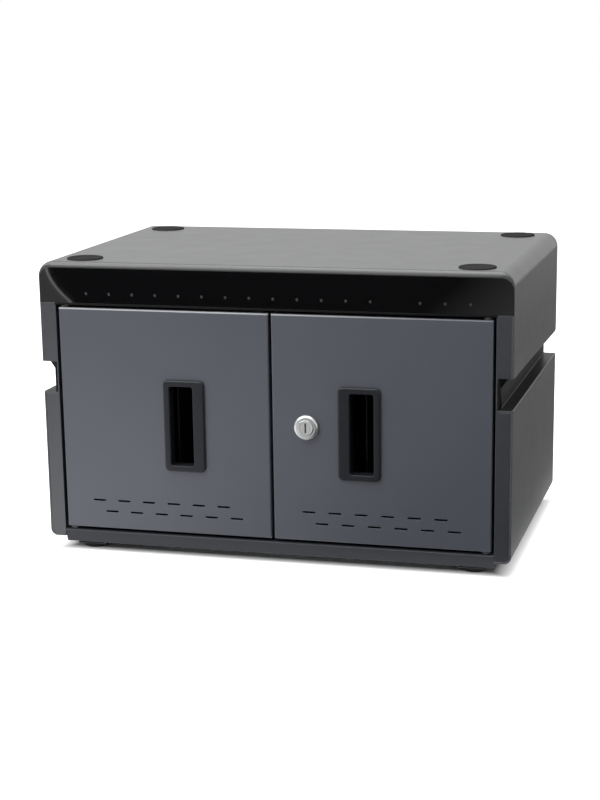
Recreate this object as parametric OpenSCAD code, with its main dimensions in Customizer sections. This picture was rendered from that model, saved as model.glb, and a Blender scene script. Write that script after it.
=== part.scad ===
// Two-door desktop charging locker for phones and tablets: a moulded case with grip channels,
// steel doors with finger windows, a cam lock, slotted bays and the charging gear behind them.
// +X is to the right seen from the front, the doors face -Y, and z = 0 is the feet's soles.

/* [Case] */
// Width of the case over its sides
case_w = 540; // [500:1:600]
// Depth of the case from the door fronts to its rear edge
case_d = 345; // [335:1:400]
// Height of the case from the feet's soles to its top face
case_h = 338; // [334:1:360]
// Wall of the moulded shells
shell_wall = 2.5; // [2:0.1:3.5]
// Radius of the long top edges
top_edge_r = 16; // [10:0.5:20]
// Radius of the long bottom edges, of the case and of the upper shell over the grip channels
bottom_edge_r = 8; // [5:0.5:10]
// Radius of the nose along the top's front edge
nose_r = 6; // [2:0.5:6]
// Height of the moulded sides' bottom edges over the floor
side_lift = 17; // [14:0.2:20]
// Depth of the rear panel inside the shells' rear edge
rear_recess = 2; // [1:0.5:4]

/* [Grip channels] */
// Height of the ledge under each grip channel
ledge_z = 189; // [175:1:195]
// Clear height of the channel under the upper shell's lip
grip_h = 23; // [18:0.5:27]
// Height of the notch in the front corners over the ledge
notch_h = 34.5; // [33:0.5:37]
// Depth of the channel into the side
grip_depth = 14.5; // [12:0.5:16]
// Height of the channel's back wall tucked inside the upper shell
tuck_h = 16; // [12:1:20]

/* [Front] */
// Gap between the jambs and the grip channels' back walls
jamb_gap = 0.3; // [0.2:0.1:6]
// Thickness of the front frame behind the glossy strip
frame_t = 2.5; // [2:0.1:4]
// Depth of the jambs and of the header around the doors
jamb_d = 20; // [19:0.5:24]
// Thickness of the jambs and of the header
jamb_t = 1.5; // [1.2:0.1:2.5]
// Height of the glossy strip
bezel_h = 40; // [34:0.5:42]
// Thickness of the glossy strip
bezel_t = 3; // [2:0.1:4]
// Height of the shell's edge over the glossy strip
brow_h = 6.3; // [6:0.1:9]
// Height of the lip between the glossy strip and the doors
lip_h = 2.4; // [2:0.1:5]
// Height of the sill's top edge over the floor
sill_top = 26.4; // [25.4:0.2:30]
// Height of the sill's lower edge over the floor
sill_bottom = 10.5; // [6:0.5:12]
// Thickness of the sill
sill_t = 2; // [1.5:0.1:2.5]
// Depth of the sill
sill_d = 14; // [14:0.5:18]
// How far the sill's front leans back at its foot
sill_lean = 4; // [0:0.5:6]

/* [Status lights] */
// Places for lights along the strip
light_places = 17; // [13:1:17]
// The place that has no light
light_gap = 13; // [0:1:16]
// Pitch of the lights
light_pitch = 27.3; // [20:0.1:28]
// Shift of the row of lights to the right
light_shift = 4.5; // [0:0.5:6]
// Radius of a light window
light_r = 1.5; // [1:0.1:2]
// Height of the lights over the lip's lower edge
light_rise = 13.2; // [10:0.2:20]

/* [Doors] */
// Sheet thickness of the doors
door_sheet = 1.2; // [1:0.1:1.8]
// Depth of the doors' folded edges
door_fold = 15; // [13:0.5:16]
// Outside radius of the folds
fold_r = 2; // [1.9:0.1:3]
// Gap around each door and between the doors
door_gap = 3.2; // [2.6:0.1:4]
// Hinge axis in from the door's outer edge
hinge_inset = 6.5; // [6.3:0.1:7.5]
// Hinge axis behind the door's front face
hinge_setback = 6.5; // [6.3:0.1:7.5]
// Radius of the hinge pins
pin_r = 2.5; // [2:0.1:2.8]
// Depth of the hinge pins in the case, and in the doors
pin_grip = 8; // [6:0.5:9]
// Running clearance of pins, shafts and the lock core, on the radius
run_gap = 0.05; // [0.02:0.01:0.09]
// Radius of the nylon hinge bushes
bush_r = 4.4; // [4:0.1:4.6]
// Depth of the bushes in the doors
bush_l = 7; // [6:0.5:10]

/* [Finger windows] */
// Distance of the window frames from the middle
handle_x = 101; // [90:1:115]
// Height of the window frames' centres
handle_z = 155; // [140:1:170]
// Width of a window frame
handle_w = 48; // [43:0.5:60]
// Height of a window frame
handle_h = 105; // [100:1:130]
// Corner radius of a window frame
handle_r = 5.5; // [3:0.5:8]
// How far the window frames stand proud of the doors
handle_proud = 3.5; // [2:0.1:5]
// Step of the raised band inside the frame's outer edge
handle_step = 1; // [0.5:0.1:2]
// Width of the finger window
window_w = 27; // [20:0.5:27]
// Height of the finger window
window_h = 91; // [70:1:94]
// Corner radius of the finger window
window_r = 2.5; // [1:0.5:5]
// Shift of the finger window toward the hinge
window_shift = 3; // [0:0.5:4]
// Wall of the sleeve around the finger window
sleeve_t = 2; // [1.5:0.1:2.5]
// Depth of the sleeve behind the door's face
sleeve_d = 12; // [6:0.5:14]

/* [Door vents] */
// Slots in one row
vent_count = 6; // [4:1:6]
// Pitch of the slots
vent_pitch = 30; // [20:0.5:32]
// Length of a slot
vent_l = 15; // [8:0.5:18]
// Height of a slot
vent_h = 2.2; // [1.5:0.1:3]
// Height of the upper row over the floor
vent_upper_z = 63; // [56:0.5:70]
// Distance between the two rows
vent_row_gap = 13; // [8:0.1:16]
// Distance from the middle of a door to the middle of a row
vent_stagger = 7.5; // [0:0.5:10]

/* [Lock] */
// Distance of the lock from the middle
lock_x = 41; // [38:0.5:46]
// Height of the lock
lock_z = 160.5; // [140:0.5:180]
// Radius of the lock's rose
rose_r = 14; // [12:0.5:15]
// How far the lock's rose stands proud of the door
rose_h = 5; // [3:0.5:7]
// Radius of the threaded barrel
barrel_r = 11; // [10.5:0.5:11.5]
// Length of the barrel behind the door's face
barrel_l = 18.5; // [18:0.5:22]
// Radius of the turning core
plug_r = 8.9; // [7:0.1:9.4]
// How far the core stands out of the barrel at each end
plug_out = 0.8; // [0.4:0.1:1.5]
// Length of the key slot
key_slot_l = 11.3; // [8:0.1:13]
// Width of the key slot
key_slot_w = 2; // [1.4:0.1:3]
// Thickness of the lock nut
nut_t = 4; // [3:0.5:6]
// Reach of the cam from the core's axis
cam_reach = 34; // [30:0.5:36]
// Width of the cam
cam_w = 13; // [10:0.5:16]
// Thickness of the cam
cam_t = 2.5; // [2:0.1:3.5]
// Gap between the locked cam and the strike
strike_gap = 1.5; // [0.8:0.1:1.6]
// Thickness of the strike plate
strike_t = 1.5; // [1:0.1:1.6]
// Reach of the strike plate from the middle
strike_reach = 25; // [18:0.5:26]

/* [Left bolt] */
// Distance of the bolt from the middle
bolt_x = 16; // [14:0.5:22]
// Width of the bolt
bolt_w = 10; // [8:0.5:12]
// Thickness of the bolt
bolt_t = 4; // [3:0.5:4.5]
// Length of the bolt
bolt_l = 70; // [60:1:90]
// Travel of the bolt
bolt_travel = 12; // [10:0.5:14]
// Sliding gap around the bolt
bolt_gap = 0.25; // [0.15:0.05:0.5]

/* [Feet and pads] */
// Height of the feet
foot_h = 5; // [3:0.5:6]
// Radius of the feet
foot_r = 14; // [10:0.5:14]
// Distance of the feet, rails and pads from the case's sides
foot_side = 45; // [43:1:70]
// Distance of the front feet and pads from the door fronts
foot_front = 30; // [29.5:0.5:50]
// Distance of the rear feet and pads from the rear edge
foot_rear = 30; // [28:0.5:50]
// Radius of the stacking pads on the top
pad_r = 20.5; // [16:0.5:24]
// Height of the stacking pads
pad_h = 1.5; // [1:0.1:3]
// Width of the rails under the base
rail_w = 34; // [30:0.5:38]
// Wall of the rails
rail_t = 1.5; // [1:0.1:2.5]

/* [Bays] */
// Slots in each bay
slot_count = 8; // [6:1:8]
// Gap between a slot tray and its bay's sides
tray_gap = 6; // [1:0.5:30]
// Thickness of a divider
divider_t = 2; // [1.5:0.1:3]
// Gap between the dividers and the hubs over them
divider_drop = 13.3; // [4:0.1:40]
// Radius of a divider's top front corner
divider_r = 45; // [20:1:80]
// Thickness of a slot tray
tray_t = 4; // [3:0.5:6]
// Depth of the grooves that hold the dividers
groove_d = 2; // [1:0.1:2.5]
// Set-back of the trays from the door fronts
tray_front = 44; // [40:1:60]
// Gap between the trays and the bulkhead
tray_rear = 6; // [2:0.5:10]
// Thickness of the inner steel sheets
sheet_t = 1.2; // [1:0.1:2]
// Depth of the space behind the bays
gear_d = 80; // [76:1:90]
// Set-back of the centre partition from the door fronts
partition_front = 27; // [26:0.5:34]
// Radius of the bench-fixing holes
bench_hole_r = 3.25; // [2.5:0.05:4]
// Distance between the bench-fixing holes across the case
bench_x = 240; // [220:1:300]

/* [Charging gear] */
// Gap between a charging hub and its bay's sides
hub_gap = 14; // [4:0.5:30]
// Depth of a charging hub
hub_d = 28; // [20:0.5:34]
// Height of a charging hub
hub_h = 26; // [16:0.5:30]
// Gap between a charging hub and the bay's ceiling
hub_drop = 22; // [16:0.5:26]
// Margin beside the row of ports at each end of a hub
port_margin = 8; // [2:0.5:30]
// Width of a port
port_w = 14; // [12:0.1:15]
// Height of a port
port_h = 6.6; // [5.5:0.1:7.5]
// Depth of a port
port_d = 10; // [8:0.5:12]
// Wall of a port's metal shell
port_wall = 0.5; // [0.4:0.1:0.8]
// Width of the power supply
supply_w = 168; // [120:1:176]
// Depth of the power supply
supply_d = 50; // [30:1:60]
// Height of the power supply
supply_h = 96; // [60:1:110]

/* [Rear] */
// Thickness of the rear panel
panel_t = 1.5; // [1:0.1:2]
// Size of a fan's square frame
fan_size = 80; // [60:1:80]
// Depth of a fan
fan_d = 25; // [20:1:25]
// Distance of the fans from the case's sides
fan_side = 140; // [120:1:144]
// Height of the fans
fan_z = 196; // [180:1:220]
// Blades on a rotor
fan_blades = 7; // [5:1:9]
// Gap between the blade tips and the fan's bore
blade_gap = 1.2; // [0.8:0.1:2]
// Radius of a rotor's hub
hub_r = 16.5; // [12:0.5:20]
// Height of a grille slot
grille_slot = 4; // [3:0.1:5]
// Pitch of the grille slots
grille_pitch = 7.5; // [6.5:0.1:9]
// Distance of the power inlet and switch from the case's side
inlet_side = 65; // [55:1:75]
// Height of the power inlet
inlet_z = 62; // [50:1:70]
// Height of the power switch
switch_z = 104; // [100:1:120]
// Tilt of the rocker to each side
rocker_tilt = 9; // [5:0.5:12]

/* [Hidden] */
$fn = 64;
over = 1;                       // how far a cut runs past a face
round_gap = 0.05;               // radial gap of a round piece held in a hole
small_fn = 24;                  // facets of the light windows

board_margin = 10;              // light board past the outermost lights
board_gap = 2;                  // light board to the header and to the hinge bosses
board_rise = 8;                 // light board over the lights
board_t = 1.6;
lens_sink = 0.2;                // lenses behind the strip's face

sill_edge = 1.5;                // bevel along the sill's top edge
boss_wall = 1.8;                // wall of the hinge bosses
bench_inset = 12;               // bench-fixing holes from the base plate's edges
rail_front = 1;                 // rails behind the sill
rail_rear = 8;                  // rails before the rear panel
foot_bevel = 1.5;
pad_bevel = 1;
dish_gap = 0.5;                 // between a foot and the dish of the pad below it
dish_slope = 1;

magnet_w = 28;
magnet_h = 10;
magnet_gap = 0.4;               // between the magnets and the closed doors' folds
magnet_lap = 5;                 // how far the magnets reach behind the header
strike_margin = 10;             // strike's height over and under the cam
strike_lap = 26;                // how far the strike lies on the partition

grille_margin = 2;              // grille slots inside the fan's bore
grille_rib = 2;                 // rib down the grille's middle
rear_vent_edge = 16;            // rear vents over the base plate
rear_vent_drop = 30;            // rear vents under the top
rear_vent_gap = 10;
rear_vent_pitch = 15;
rear_vent_l = 10.5;
supply_vents = 8;
supply_vent_rows = 3;
supply_vent_pitch = 18;
supply_vent_l = 12;
supply_vent_h = 3;
supply_vent_d = 2;
bulkhead_vent_drop = 30;        // bulkhead vents under the hubs

head_r = 3.1;                   // case screws: head, its edge, thread and cross recess
head_edge_r = 2.4;
head_h = 1.6;
thread_l = 8;
thread_lap = 0.01;
recess_half = 1.6;
recess_t = 0.3;
recess_floor = 0.8;
screw_play = 0.2;

fan_corner_r = 5;
fan_hole_r = 2.1;
fan_hole_inset = 5;
spoke_half = 2;                 // half the width of a spoke
spoke_t = 3;                    // thickness of the fan's rear spokes
shaft_r = 1.5;
shaft_lap = 2;                  // shaft inside the cup
cup_gap = 1;                    // between the spokes and the cup
cup_front = 1.5;                // cup behind the fan's front face
blade_half = 12;                // half the chord of a blade
blade_t = 1.8;
blade_turn = 38;                // pitch of the blades

inlet_w = 30;
inlet_h = 22;
inlet_flange = 3;               // rim around the inlet and the switch
inlet_wall = 1.5;
inlet_depth = 18;
inlet_corner = 4;               // cut corners of the inlet's cavity
inlet_pins_l = 11;
inlet_pin_x = 7;                // pins: spacing, heights and half sizes
inlet_pin_high = 2;
inlet_pin_low = -1;
inlet_pin_half = [1, 2];

axle_r = 1.5;                   // stub axles of the rocker
axle_l = 1;
axle_play = 0.2;
rocker_half = 7.5;              // rocker's half height
rocker_nose = 3;                // rocker's edge over its pivot
rocker_dip = 2.2;               // rocker's middle over its pivot
rocker_back = 4;                // rocker's rear behind its pivot
rocker_taper = 2;
rocker_w = 13;
rocker_fit = 0.5;               // gap around the rocker
switch_d = 12;
switch_room = 1;                // extra height for the tilting rocker

bush_collar = 0.7;              // collar under the hinge bushes
bush_gap = 1;                   // between the collars and the case
handle_back = 8;                // depth reserved behind the door's face for the bolt's guides
bolt_drop = 2;                  // resting bolt under the door's top fold
bolt_slot_gap = 1;              // around the bolt in the door's fold and the header
knob_rise = 7;                  // bolt's knob over its lower end
knob_r = 4.5;
knob_neck_r = 2.5;
knob_neck_l = 4;
knob_l = 5;
guide_h = 10;
guide_wall = 3;
guide_back = 2;                 // guides' thickness behind the bolt
guide_drop = 3;                 // upper guide under the bolt's end
guide_gap = 1.5;                // between the raised bolt's knob and the lower guide

rose_edge = [1.5, 0.4];         // outer and inner bevels of the lock's rose
rose_face = 3;
rose_side = 2;
barrel_bevel = 0.5;
nut_wall = 4;
key_slot_d = 8;
cam_round = 1.5;
cam_play = 0.1;
cam_head_r = 3.8;
cam_head_h = 2.2;
cam_thread_gap = 1;
screw_r = 2;                    // cam screw's shank
cam_screw_l = 8;

grommet_r = 10;
grommet_bore = 5;
grommet_rim = 2;
grommet_lip = 1.5;
tongue_side = 1.5;              // contact tongue inside a port
tongue_front = 1;
tongue_t = 1.8;
groove_fit = 0.1;
divider_inset = 8;              // divider's front edge behind the tray's
ceiling_gap = 1;                // ceiling sheet behind the raised bolt
supply_gap = 1;                 // power supply behind the bulkhead

ear = 14;                       // screw ears inside the shells
ear_d = 12;
ear_low = 40;                   // lower ears from the sides' ends
case_screw_r = 1.5;

lock_proud = rose_h + plug_out;
front_proud = max(lock_proud, handle_proud);
rocker_tip = rocker_nose * cos(rocker_tilt) + rocker_half * sin(rocker_tilt);
rear_proud = max(rocker_tip - rear_recess, 0);
front_y = -(case_d + rear_proud - front_proud) / 2;
rear_y = front_y + case_d;
panel_y = rear_y - rear_recess;             // rear panel's outer face
panel_in_y = panel_y - panel_t;             // rear panel's inner face
bulkhead_y = panel_in_y - gear_d + sheet_t; // bulkhead's front face

half_w = case_w / 2;
foot_x = half_w - foot_side;
fan_x = half_w - fan_side;
inlet_x = half_w - inlet_side;
inner_half = half_w - shell_wall;
grip_half = half_w - grip_depth;            // grip channel's back wall, outer face
bay_half = grip_half - shell_wall;          // and its inner face
grip_top = ledge_z + grip_h;
notch_top = ledge_z + notch_h;
open_half = bay_half - jamb_gap - jamb_t;    // half the width of the door opening
bezel_top = case_h - brow_h;
bezel_bottom = bezel_top - bezel_h;
open_top = bezel_bottom - lip_h;
frame_y = front_y + bezel_t + frame_t;      // front frame's rear face
jamb_y = front_y + jamb_d;
ceiling_z = open_top + jamb_t;
flange_top = side_lift + shell_wall;        // bottom flanges' top, under the base plate
base_z = flange_top + sheet_t;              // floor of the bays

door_out = open_half - door_gap;            // door's outer edge
door_in = door_gap / 2;                     // door's edge at the middle
door_bottom = sill_top + door_gap;
door_top = open_top - door_gap;
door_mid = (door_out + door_in) / 2;
hinge_x = door_out - hinge_inset;
hinge_y = front_y + hinge_setback;
boss_r = pin_r + boss_wall;
sill_y = front_y + sill_d;                  // sill's rear face

light_z = open_top + light_rise;
light_x0 = light_shift - light_pitch * (light_places - 1) / 2;
lights = [for (i = [0 : light_places - 1]) if (i != light_gap) light_x0 + light_pitch * i];

cam_y = barrel_l + plug_out;                // cam's front face behind the door's face
strike_y = front_y + cam_y - strike_gap - strike_t;
strike_h = 2 * (cam_w + strike_margin);

bolt_y = front_y + handle_back;             // bolt's front face
bolt_top = door_top - door_sheet - bolt_drop;
guide_tops = [bolt_top - guide_drop,
              bolt_top - bolt_l + knob_rise + knob_r + bolt_travel + guide_gap + guide_h];

foot_ys = [front_y + foot_front, rear_y - foot_rear];
bay_mid = (bay_half + sheet_t / 2) / 2;
tray_w = bay_half - sheet_t / 2 - 2 * tray_gap;
slot_pitch = tray_w / slot_count;
tray_y0 = front_y + tray_front;
tray_y1 = bulkhead_y - tray_rear;
tray_top = base_z + tray_t;

hub_z = ceiling_z - hub_drop - hub_h;
hub_y = bulkhead_y - hub_d;
divider_top = hub_z - divider_drop;
port_count = slot_count;
hub_w = bay_half - sheet_t / 2 - 2 * hub_gap;
port_pitch = (hub_w - 2 * port_margin) / port_count;
grommet_z = hub_z + hub_h / 2;

supply_y = bulkhead_y + sheet_t + supply_gap;
fan_bore = fan_size / 2 - 2;
switch_h = 2 * rocker_half + 2 * rocker_fit + 2 * inlet_wall + switch_room;
switch_w = rocker_w + 2 * rocker_fit + 2 * inlet_wall;

ear_inset = ear / 2 - 0.5;                  // the ears run into the walls
rear_vent_zs = [base_z + rear_vent_edge, base_z + rear_vent_edge + rear_vent_gap,
                case_h - rear_vent_drop - rear_vent_gap, case_h - rear_vent_drop];
upper_ears = [for (side = [-1, 1]) each [[side * (inner_half - ear_inset), grip_top + 2 * grip_depth],
                                         [side * (inner_half - ear_inset), case_h - 2 * top_edge_r],
                                         [side * foot_x / 2, case_h - shell_wall - ear_inset]]];
lower_ears = [[inner_half - ear_inset, side_lift + ear_low], [inner_half - ear_inset, ledge_z - ear_low]];

shell_grey = [0.30, 0.31, 0.33];
door_grey = [0.35, 0.36, 0.40];
gloss_black = [0.03, 0.03, 0.03];
handle_grey = [0.22, 0.22, 0.26];
rubber_black = [0.12, 0.12, 0.12];
zinc = [0.66, 0.68, 0.70];
lock_silver = [0.85, 0.86, 0.84];

// ---- helpers ----

// A box from its lowest to its highest corner
module box(low, high) {
    translate(low) cube(high - low);
}

// An X-Z outline carried from one y to another
module along_y(y0, y1) {
    translate([0, y1, 0]) rotate([90, 0, 0]) linear_extrude(y1 - y0) children();
}

// A Y-Z outline carried from one x to another
module along_x(x0, x1) {
    translate([x0, 0, 0]) rotate([90, 0, 90]) linear_extrude(x1 - x0) children();
}

// A rectangle with round corners, centred
module round_rect(w, h, r) {
    square([w - 2 * r, h], center = true);
    square([w, h - 2 * r], center = true);
    for (x = [-1, 1], y = [-1, 1])
        translate([x * (w / 2 - r), y * (h / 2 - r)]) circle(r);
}

// A piece of the right half, or its mirror image on the left
module on_side(side) {
    if (side > 0) children();
    else mirror([1, 0, 0]) children();
}

// A slot with round ends, centred
module level_slot(length, height) {
    square([length - height, height], center = true);
    for (side = [-1, 1]) translate([side * (length - height) / 2, 0]) circle(height / 2);
}

// A row of slots with round ends, centred
module slot_row(count, pitch, length, height) {
    for (i = [0 : count - 1])
        translate([(i - (count - 1) / 2) * pitch, 0]) level_slot(length, height);
}

// ---- case outlines, all in X-Z ----

// A block between two heights with its own top and bottom edge radii
module edged_block(half, bottom, top, bottom_r, top_r) {
    translate([-half, bottom + bottom_r]) square([2 * half, top - top_r - bottom - bottom_r]);
    for (end = [[bottom, bottom_r, 1], [top, top_r, -1]]) {
        middle = end[0] + end[2] * end[1];
        translate([-half + end[1], min(end[0], middle + end[2])])
            square([2 * (half - end[1]), abs(middle + end[2] - end[0])]);
        for (side = [-1, 1]) translate([side * (half - end[1]), middle]) circle(end[1]);
    }
}

// Outline of the upper shell and of the lower sides, drawn in by inset
module upper_block(inset, top) {
    edged_block(half_w - inset, grip_top + inset, top, bottom_edge_r - inset, top_edge_r - inset);
}

module lower_block(inset) {
    difference() {
        edged_block(half_w - inset, side_lift + inset, ledge_z + bottom_edge_r,
                    bottom_edge_r - inset, bottom_edge_r - inset);
        translate([-half_w, ledge_z - inset]) square([case_w, 2 * bottom_edge_r]);
    }
}

// The opening inside the shells, up to a given top
module case_outline(top) {
    upper_block(shell_wall, top);
    lower_block(shell_wall);
    translate([-bay_half, ledge_z - 2 * shell_wall])
        square([2 * bay_half, grip_h + 4 * shell_wall]);
}

// ---- moulded case ----

module screw_ears(places) {
    for (p = places) translate([p.x, 0, p.y])
        box([-ear / 2, panel_in_y - ear_d, -ear / 2], [ear / 2, panel_in_y, ear / 2]);
}

module screw_holes(places, r) {
    for (p = places) translate([p.x, rear_y + over, p.y]) rotate([90, 0, 0])
        cylinder(r = r, h = ear_d + rear_recess + panel_t + over);
}

module upper_shell() color(shell_grey) difference() {
    union() {
        difference() {
            intersection() {
                along_y(front_y, rear_y) upper_block(0, case_h);
                along_x(-half_w - over, half_w + over) nose_outline();
            }
            along_y(front_y - over, frame_y) upper_block(shell_wall, bezel_top);
            box([-half_w - over, front_y - over, 0], [half_w + over, frame_y, notch_top]);
            difference() {
                along_y(frame_y - over, rear_y + over) upper_block(shell_wall, case_h - shell_wall);
                for (side = [-1, 1]) on_side(side)
                    box([grip_half, frame_y - 2 * over, grip_top],
                        [half_w, frame_y + shell_wall, notch_top + shell_wall]);
            }
            box([-grip_half, front_y - over, grip_top - over],
                [grip_half, rear_y + over, grip_top + 2 * shell_wall]);
        }
        intersection() {
            screw_ears(upper_ears);
            along_y(front_y, rear_y) upper_block(shell_wall / 2, case_h - shell_wall / 2);
        }
    }
    screw_holes(upper_ears, case_screw_r);
}

// Y-Z outline that rounds the top's front edge
module nose_outline() {
    translate([front_y + nose_r, grip_top - over]) square([case_d, case_h - grip_top + over]);
    translate([front_y, grip_top - over]) square([2 * nose_r, case_h - nose_r - grip_top + over]);
    translate([front_y + nose_r, case_h - nose_r]) circle(nose_r);
}

module lower_side(side) color(shell_grey) on_side(side) difference() {
    union() {
        along_y(front_y, rear_y) difference() {
            lower_block(0);
            lower_block(shell_wall);
            translate([-half_w, 0]) square([half_w + open_half, ledge_z - shell_wall]);
            translate([-half_w, 0]) square([half_w + bay_half, 2 * ledge_z]);
        }
        along_y(front_y, rear_y) translate([open_half, side_lift])
            square([half_w - bottom_edge_r - open_half, shell_wall]);
        box([bay_half, front_y, ledge_z - shell_wall], [grip_half, rear_y, grip_top]);
        box([bay_half, front_y, grip_top - over], [grip_half, frame_y + over, notch_top]);
        box([bay_half, frame_y, grip_top - over], [grip_half, panel_in_y, grip_top + tuck_h]);
        intersection() {
            screw_ears(lower_ears);
            along_y(front_y, rear_y) lower_block(shell_wall / 2);
        }
    }
    screw_holes(lower_ears, case_screw_r);
}

module front_frame() color(shell_grey) difference() {
    union() {
        along_y(front_y, frame_y) case_outline(bezel_top);
        for (side = [-1, 1]) on_side(side) {
            box([open_half, front_y, flange_top], [open_half + jamb_t, jamb_y, ceiling_z]);
            translate([hinge_x, hinge_y, open_top]) cylinder(r = boss_r, h = pin_grip + jamb_t);
        }
        box([-open_half, front_y, open_top], [open_half, jamb_y, ceiling_z]);
    }
    box([-open_half, front_y - over, 0], [open_half, jamb_y + over, open_top]);
    box([-half_w, front_y - over, bezel_bottom], [half_w, front_y + bezel_t, case_h]);
    for (side = [-1, 1]) on_side(side)
        box([bay_half, front_y - over, ledge_z], [half_w, frame_y + over, notch_top]);
    for (side = [-1, 1])
        translate([side * hinge_x, hinge_y, open_top - over])
            cylinder(r = pin_r, h = pin_grip + over);
    for (x = lights) translate([x, frame_y + over, light_z]) rotate([90, 0, 0])
        cylinder(r = light_r + round_gap, h = frame_t + 2 * over, $fn = small_fn);
    bolt_slot(open_top - over, ceiling_z + over);
}

module front_bezel() color(gloss_black) difference() {
    along_y(front_y, front_y + bezel_t) intersection() {
        case_outline(bezel_top);
        translate([-half_w, bezel_bottom]) square([case_w, bezel_h]);
    }
    for (x = lights) translate([x, front_y + bezel_t + over, light_z]) rotate([90, 0, 0])
        cylinder(r = light_r + round_gap, h = bezel_t + 2 * over, $fn = small_fn);
}

module led_lenses() color([0.8, 0.8, 0.78])
    for (x = lights) translate([x, frame_y, light_z]) rotate([90, 0, 0])
        cylinder(r = light_r, h = bezel_t + frame_t - lens_sink, $fn = small_fn);

module led_board() color([0.05, 0.3, 0.15]) difference() {
    box([light_x0 - board_margin, frame_y, ceiling_z + board_gap],
        [2 * light_shift - light_x0 + board_margin, frame_y + board_t, light_z + board_rise]);
    for (side = [-1, 1]) translate([side * hinge_x, hinge_y, ceiling_z])
        cylinder(r = boss_r + board_gap, h = open_top + pin_grip + jamb_t + board_gap - ceiling_z);
}

// Sill under the doors: a folded channel whose front leans back
module front_sill() color(door_grey) difference() {
    union() {
        along_x(-open_half, open_half) difference() {
            sill_outline(0, sill_bottom);
            sill_outline(sill_t, sill_bottom - over);
        }
        for (side = [-1, 1]) translate([side * hinge_x, hinge_y, sill_top - pin_grip])
            cylinder(r = boss_r, h = pin_grip - sill_t / 2);
    }
    for (side = [-1, 1]) translate([side * hinge_x, hinge_y, sill_top - pin_grip])
        cylinder(r = pin_r, h = pin_grip + over);
}

// Side view of the sill, drawn in by inset
module sill_outline(inset, bottom)
    polygon([[front_y + sill_lean + inset, bottom],
             [front_y + inset, sill_top - sill_edge - inset],
             [front_y + sill_edge + inset, sill_top - inset],
             [sill_y - inset, sill_top - inset],
             [sill_y - inset, bottom]]);

module base_plate() color(zinc) difference() {
    union() {
        box([-half_w + bottom_edge_r, jamb_y, flange_top], [half_w - bottom_edge_r, panel_in_y, base_z]);
        box([-open_half, sill_y, flange_top], [open_half, jamb_y + over, base_z]);
    }
    for (x = [-1, 1], y = [jamb_y + bench_inset, panel_in_y - bench_inset])
        translate([x * bench_x / 2, y, flange_top - over])
            cylinder(r = bench_hole_r, h = sheet_t + 2 * over);
}

module base_rails() color(zinc)
    for (side = [-1, 1]) translate([side * foot_x, 0, 0])
        along_y(sill_y + rail_front, panel_in_y - rail_rear) difference() {
            translate([-rail_w / 2, foot_h]) square([rail_w, flange_top - foot_h]);
            translate([-rail_w / 2 + rail_t, foot_h + rail_t])
                square([rail_w - 2 * rail_t, flange_top - foot_h - 2 * rail_t]);
        }

module rubber_feet() color(rubber_black)
    for (side = [-1, 1], y = foot_ys) translate([side * foot_x, y, 0])
        rotate_extrude() polygon([[0, 0], [foot_r - foot_bevel, 0], [foot_r, foot_h / 2],
                                  [foot_r, foot_h], [0, foot_h]]);

module stacking_pads() color(rubber_black)
    for (side = [-1, 1], y = foot_ys) translate([side * foot_x, y, case_h])
        rotate_extrude() polygon([[0, 0], [pad_r, 0], [pad_r, pad_h / 2], [pad_r - pad_bevel, pad_h],
                                  [foot_r + dish_gap + dish_slope, pad_h],
                                  [foot_r + dish_gap, pad_h / 2], [0, pad_h / 2]]);

// ---- rear ----

// Fan grille: level slots that end on a circle
module fan_grille() {
    rows = floor((fan_bore - grille_slot) / grille_pitch);
    for (i = [-rows : rows]) {
        z = i * grille_pitch;
        half_l = sqrt(fan_bore * fan_bore - pow(abs(z) + grille_slot / 2, 2)) - grille_margin;
        for (side = [-1, 1]) translate([side * (half_l + grille_rib) / 2, z])
            level_slot(half_l - grille_rib, grille_slot);
    }
}

module rear_panel() color(shell_grey) difference() {
    along_y(panel_in_y, panel_y) difference() {
        case_outline(case_h - shell_wall);
        for (side = [-1, 1]) translate([side * fan_x, fan_z]) fan_grille();
        translate([inlet_x, inlet_z]) square([inlet_w, inlet_h], center = true);
        translate([inlet_x, switch_z]) square([switch_w, switch_h], center = true);
        for (z = rear_vent_zs, side = [-1, 1])
            translate([side * fan_x, z]) slot_row(vent_count, rear_vent_pitch, rear_vent_l, vent_h);
    }
    for (side = [-1, 1]) on_side(side) {
        screw_holes(lower_ears, case_screw_r + screw_play);
        screw_holes([for (p = upper_ears) if (p.x > 0) p], case_screw_r + screw_play);
    }
}

module rear_screws() color(zinc)
    for (side = [-1, 1]) on_side(side)
        for (p = concat(lower_ears, [for (q = upper_ears) if (q.x > 0) q]))
            translate([p.x, panel_y, p.y]) rotate([90, 0, 0]) {
                difference() {
                    union() {
                        translate([0, 0, -head_h]) cylinder(r1 = head_edge_r, r2 = head_r, h = head_h);
                        translate([0, 0, -thread_lap])
                            cylinder(r = case_screw_r - round_gap, h = panel_t + thread_l);
                    }
                    for (turn = [0, 90]) rotate(turn)
                        box([-recess_half, -recess_t, -head_h - over],
                            [recess_half, recess_t, -recess_floor]);
                }
            }

// Fans: square frames with a motor boss on four spokes
module fan_frames() color([0.1, 0.1, 0.11])
    for (side = [-1, 1]) translate([side * fan_x, panel_in_y, fan_z]) rotate([90, 0, 0])
        difference() {
            union() {
                linear_extrude(fan_d) difference() {
                    round_rect(fan_size, fan_size, fan_corner_r);
                    circle(fan_bore);
                }
                cylinder(r = hub_r, h = spoke_t);
                for (turn = [45 : 90 : 315]) rotate(turn)
                    box([0, -spoke_half, 0], [fan_bore + over, spoke_half, spoke_t]);
            }
            for (x = [-1, 1], y = [-1, 1])
                translate([x * (fan_size / 2 - fan_hole_inset), y * (fan_size / 2 - fan_hole_inset), -over])
                    cylinder(r = fan_hole_r, h = fan_d + 2 * over);
            translate([0, 0, -over]) cylinder(r = shaft_r + run_gap, h = spoke_t + 2 * over);
        }

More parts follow.
